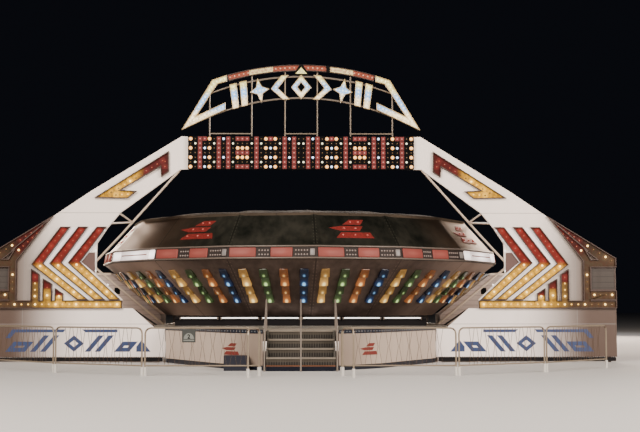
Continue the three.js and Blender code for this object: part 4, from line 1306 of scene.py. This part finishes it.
# The emblem plates give off a low red light of their own: painted light.
emblem_red = box_face("emblem_red", lambda face: (0.15, 0.018, 0.016), low=0.3)
done(copies(emblem(1.1, 0.02), emblem_places), "drum_emblems", emblem_red, "drum")
emblem_lamps = copies(small_bulb(0.038), lamp_places)
done(emblem_lamps, "drum_emblem_lamps", glass["emblem_lamp"], "drum")

# %% [markdown]
# ## Deck edge
# A navy band with pale studs runs round the front deck's edge, over the white skirts. It
# follows the same plan corners as the deck, a few millimetres in front of it.

# %% Navy band with studs
DECK_CORNERS = [(3.770, 5.800), (2.040, 8.750), (0.930, 9.850)]
STUD_PITCH = 0.11


def edge_place(start, end, side, share, proud):
    """On the deck's edge between two corners, facing outward."""
    x = start[0] + (end[0] - start[0]) * share
    forward = start[1] + (end[1] - start[1]) * share
    turn = math.atan2(end[1] - start[1], start[0] - end[0])
    facing = Matrix.Rotation(side * turn, 4, "Z")
    return shift(side * x, 0, -forward) @ facing @ shift(0, 0, -proud)


bands_made = []
stud_places = []
for start, end in zip(DECK_CORNERS, DECK_CORNERS[1:]):
    length = math.dist(start, end)
    count = round(length / STUD_PITCH)
    for side in (-1, 1):
        band = block(0, length / 2, -0.006, 0, 0.900, 0.998)
        band.data.transform(edge_place(start, end, side, 0.5, 0.001))
        bands_made.append(band)
        for n in range(count):
            stud_places.append(edge_place(start, end, side, (n + 0.5) / count, 0.008) @ shift(0, 0.95, 0))
done(fuse(*bands_made), "deck_edge_band", navy)
done(copies(small_bulb(0.020), stud_places), "deck_edge_studs", glass["stud_glow"])

# %% [markdown]
# ## Painted motifs
# The skirts carry large blue motifs: swept bars, hollow diamonds and long stripes, drawn as
# thin plates in front of the sheet. Red emblems stand on the deck's skirt.

# %% Blue motifs of the side skirts
SKIRT_FACE = -5.700
MOTIFS = [
    ([(8.25, 0.68), (8.11, 0.68), (7.98, 0.84), (6.64, 0.84), (6.58, 0.92), (8.06, 0.92)], 0.0),
    ([(6.02, 0.84), (5.13, 0.84), (5.13, 0.92), (6.12, 0.92)], 0.0),
    ([(8.25, 0.30), (7.70, 0.30), (7.46, 0.58), (8.01, 0.58)], 0.11),
    ([(6.62, 0.53), (6.34, 0.30), (6.06, 0.53), (6.34, 0.754)], 0.10),
    ([(5.22, 0.30), (4.80, 0.30), (4.56, 0.58), (4.98, 0.58)], 0.11),
    ([(4.60, 0.30), (4.20, 0.30), (4.46, 0.62), (4.60, 0.44)], 0.0),
]
for x in (7.56, 7.28, 6.04, 5.76):
    MOTIFS.append(([(x, 0.30), (x - 0.15, 0.30), (x - 0.53, 0.754), (x - 0.38, 0.754)], 0.0))
motifs = []
for points, hollow in MOTIFS:
    motifs += pair(points, SKIRT_FACE - 0.004, 0.0037, hollow)
blue_paint = sheet_paint("blue_motif_paint", (0.024, 0.044, 0.125), roughness=0.35, dirt=0.3)
done(fuse(*motifs), "side_skirt_motifs", blue_paint)

# %% Red emblems of the deck skirt
start, end = DECK_CORNERS[1:]
skirt_emblems = []
for side in (-1, 1):
    piece = emblem(0.44, 0.004)
    place = edge_place(start, end, side, 0.27, 0.001) @ shift(0, 0.50, 0)
    piece.data.transform(place @ Matrix.Diagonal((1.3, 1, 1, 1)))
    skirt_emblems.append(piece)
red_paint = sheet_paint("red_motif_paint", (0.19, 0.028, 0.022), roughness=0.35, dirt=0.3)
done(fuse(*skirt_emblems), "deck_skirt_emblems", red_paint)

# %% [markdown]
# ## Shade under the skirts
# A black strip along the foot of each side skirt is painted shade: it stands for the shadow
# under the skirt's lower edge. Its upper edge is cut in small teeth.

# %% Shade strip with teeth
SHADE_STRIP_START = 3.86
TEETH = 98
TOOTH = 0.051
TOOTH_ROOT = 0.140
TOOTH_TOP = 0.158
shade_strip_line = [(8.86, 0.03), (SHADE_STRIP_START, 0.03)]
for n in range(TEETH):
    x = SHADE_STRIP_START + n * TOOTH
    middle = x + 0.026
    shade_strip_line += [(x, TOOTH_TOP), (middle, TOOTH_TOP), (middle, TOOTH_ROOT), (x + TOOTH, TOOTH_ROOT)]
# Painted shade: the strip is black where the skirt's shadow falls.
skirt_foot_shade = sheet_paint("skirt_foot_shade_black", (0.009, 0.008, 0.009), roughness=0.6, dirt=0.3, specular=0.1)
done(fuse(*pair(shade_strip_line, SKIRT_FACE - 0.012, 0.008)), "skirt_foot_shade_strips", skirt_foot_shade)

# %% [markdown]
# ## Stair edges
# Each tread ends in a bright aluminium nosing, worn smooth by feet. The deck's edge over
# the stair has one as well.

# %% Nosings
STAIR_FRONT = -9.950
GOING = 0.300
DECK_EDGE = -8.756
nosings = [block(0, 0.925, DECK_EDGE, DECK_EDGE + 0.036, 0.955, 1.003)]
for k in range(4):
    y = STAIR_FRONT + k * GOING
    z = PLINTH + RISE * (k + 1)
    nosings.append(block(0, 0.848, y - 0.006, y + 0.03, z - 0.042, z + 0.003))
worn_metal = tube_paint("worn_nosing", (0.24, 0.205, 0.165), chipped=(0.12, 0.10, 0.08))
done(soften(fuse(*nosings), 0.005), "stair_nosings", worn_metal)

# %% [markdown]
# ## The numbered notice
# A small grey notice with the number 2 hangs on the first barrier. The number is a text
# object turned into a mesh, so that it has real edges.

# %% Notice
NOTICE_X = -2.54
NOTICE_FACE = -11.932
NOTICE_HEAD = 1.055
INK_FACE = NOTICE_FACE - 0.002
board = block(NOTICE_X, 0.155, NOTICE_FACE, NOTICE_FACE + 0.008, 0.755, NOTICE_HEAD)
notice_grey = sheet_paint("notice_grey", (0.030, 0.033, 0.031), roughness=0.5, dirt=0.3)
done(soften(board, 0.003), "notice_board", notice_grey)
turns = [math.pi * n / 16 for n in range(17)]
half_disc = [(NOTICE_X + 0.115 * math.cos(turn), 0.835 + 0.13 * math.sin(turn)) for turn in turns]
bar = block(NOTICE_X, 0.12, INK_FACE, NOTICE_FACE, 0.79, 0.815)
notice_pale = sheet_paint("notice_pale", (0.17, 0.18, 0.165), roughness=0.5, dirt=0.3)
done(fuse(plate(half_disc, INK_FACE, 0.002), bar), "notice_disc", notice_pale)
clear_selection()
bpy.ops.object.text_add(location=(NOTICE_X, INK_FACE - 0.0015, 0.845), rotation=(math.pi / 2, 0, 0))
number = bpy.context.object
number.data.body = "2"
number.data.size = 0.13
number.data.align_x = "CENTER"
number.data.extrude = 0.001
number.data.offset = 0.004
bpy.ops.object.convert(target="MESH")
done(settle(number), "notice_number", board_black)
hooks = [rod((x, NOTICE_FACE + 0.004, NOTICE_HEAD - 0.01), (x, -11.905, 1.085), 0.004, 8)
         for x in (NOTICE_X - 0.11, NOTICE_X + 0.11)]
done(fuse(*hooks), "notice_hooks", worn_metal)

# %% [markdown]
# ## Housings and braces
# The machine housings behind the wings are closed with level boards. Each has a light trim
# along its top and a small rounded window, and three rusty braces hold it to the trailer.

# %% Trim, window and braces
BRACE_Y = -1.36
BRACES = (((5.25, 1.42), (4.15, 0.68), 0.028), ((5.55, 0.95), (4.75, 0.52), 0.022),
          ((5.25, 1.42), (5.25, 0.60), 0.028))
trims = [block(side * 6.77, 0.5, 0.040, 0.058, 2.585, 2.655) for side in (-1, 1)]
windows = [block(side * 6.06, 0.09, 0.046, 0.058, 1.96, 2.17) for side in (-1, 1)]
braces = [rod((side * x, BRACE_Y, z), (side * end_x, BRACE_Y, end_z), radius)
          for side in (-1, 1) for (x, z), (end_x, end_z), radius in BRACES]
done(soften(fuse(*trims), 0.006), "housing_trims", cream_tube)
done(soften(fuse(*windows), 0.018, segments=3, angle=60), "housing_windows", board_black)
done(fuse(*braces), "housing_braces", steel)

# %% [markdown]
# ## Small parts of the wings
# A grey window in a dark frame fills each wing's outer end, a dark brown plate of painted
# shade covers the corner between the first chevron and the drum, where the white sheet lies in
# shade, and small white lamps sit on the inner edge.

# %% Windows, corner plates and edge lamps
def rectangle(left, low, right, high):
    return [(left, low), (right, low), (right, high), (left, high)]


pane_grey = sheet_paint("pane_grey", (0.060, 0.050, 0.045), dirt=0.4, groove=0.16, specular=0.2)
panes = pair(rectangle(8.21, 2.04, 8.86, 2.63), WING_FACE - 0.012, 0.011)
done(fuse(*panes), "wing_windows", pane_grey)
frames = pair(rectangle(8.183, 2.014, 8.887, 2.656), WING_FACE - 0.022, 0.021, hollow=0.03)
done(fuse(*frames), "wing_window_frames", brown_lip)
# Painted shade: a dark brown plate, made uneven by heavy streaks, over the shaded corner.
corner_line = [(6.165, 2.806), (5.955, 3.075), (5.79, 3.075), (5.775, 2.49)]
corner_shade_brown = sheet_paint("corner_shade_brown", (0.105, 0.054, 0.046), roughness=0.5, dirt=1.0)
done(fuse(*pair(corner_line, WING_FACE - 0.020, 0.0045)), "wing_corner_shade_plates", corner_shade_brown)
edge_places = []
for x, z in ((5.765, 3.13), (5.72, 3.42), (5.53, 3.70), (5.77, 2.56), (5.42, 2.17)):
    edge_places += [shift(side * x, z, WING_FACE - 0.002) for side in (-1, 1)]
done(copies(small_bulb(0.022), edge_places), "wing_edge_lamps", glass["edge_lamp"])

# %% [markdown]
# ## Studio
# The floor is plain and pale, and the light is soft: a broad key lamp at the front left, a
# fill at the front right, a lamp behind each side and one at the back, under a dim blue
# sky. The lamps of the ride add their own colours.

# %% Floor, lights and sky
clear_selection()
bpy.ops.mesh.primitive_plane_add(size=400, location=(0, 0, 0))
floor = bpy.context.object
floor.name = "studio_floor"
ground = Finish("studio_ground", roughness=0.9)
grey = ground.noise(0.6, detail=4.0) * 0.04
ground.set(base_color=ground.mix(grey, (0.56, 0.55, 0.54), (0.40, 0.39, 0.38)))
floor.data.materials.append(ground.material)

# Each light: its place, what it is aimed at, its size, its watts and its colour.
LIGHTS = {
    "key": ((-14, -34, 20), (0, -4, 3), 16, 16000, (1.0, 0.90, 0.80)),
    "fill": ((20, -28, 12), (0, -4, 3), 14, 10500, (1.0, 0.89, 0.79)),
    "left_side": ((-13, 22, 10), (0, 0, 3), 10, 9000, (1.0, 0.79, 0.63)),
    "right_side": ((13, 22, 10), (0, 0, 3), 10, 7000, (1.0, 0.79, 0.63)),
    "back": ((6, 26, 18), (0, 0, 3), 16, 3200, (0.94, 0.96, 1.0)),
}
for name, (place, aim, size, watts, colour) in LIGHTS.items():
    light = bpy.data.objects.new(name, bpy.data.lights.new(name, "AREA"))
    bpy.context.scene.collection.objects.link(light)
    light.data.size = size
    light.data.energy = watts
    light.data.color = colour
    light.location = place
    light.rotation_euler = (Vector(aim) - Vector(place)).to_track_quat("-Z", "Y").to_euler()

sky = bpy.data.worlds.new("studio_sky")
bpy.context.scene.world = sky
sky.use_nodes = True
background = sky.node_tree.nodes["Background"]
background.inputs["Color"].default_value = (0.42, 0.48, 0.70, 1.0)
background.inputs["Strength"].default_value = 0.009
print(len(LIGHTS), "lights and a sky")
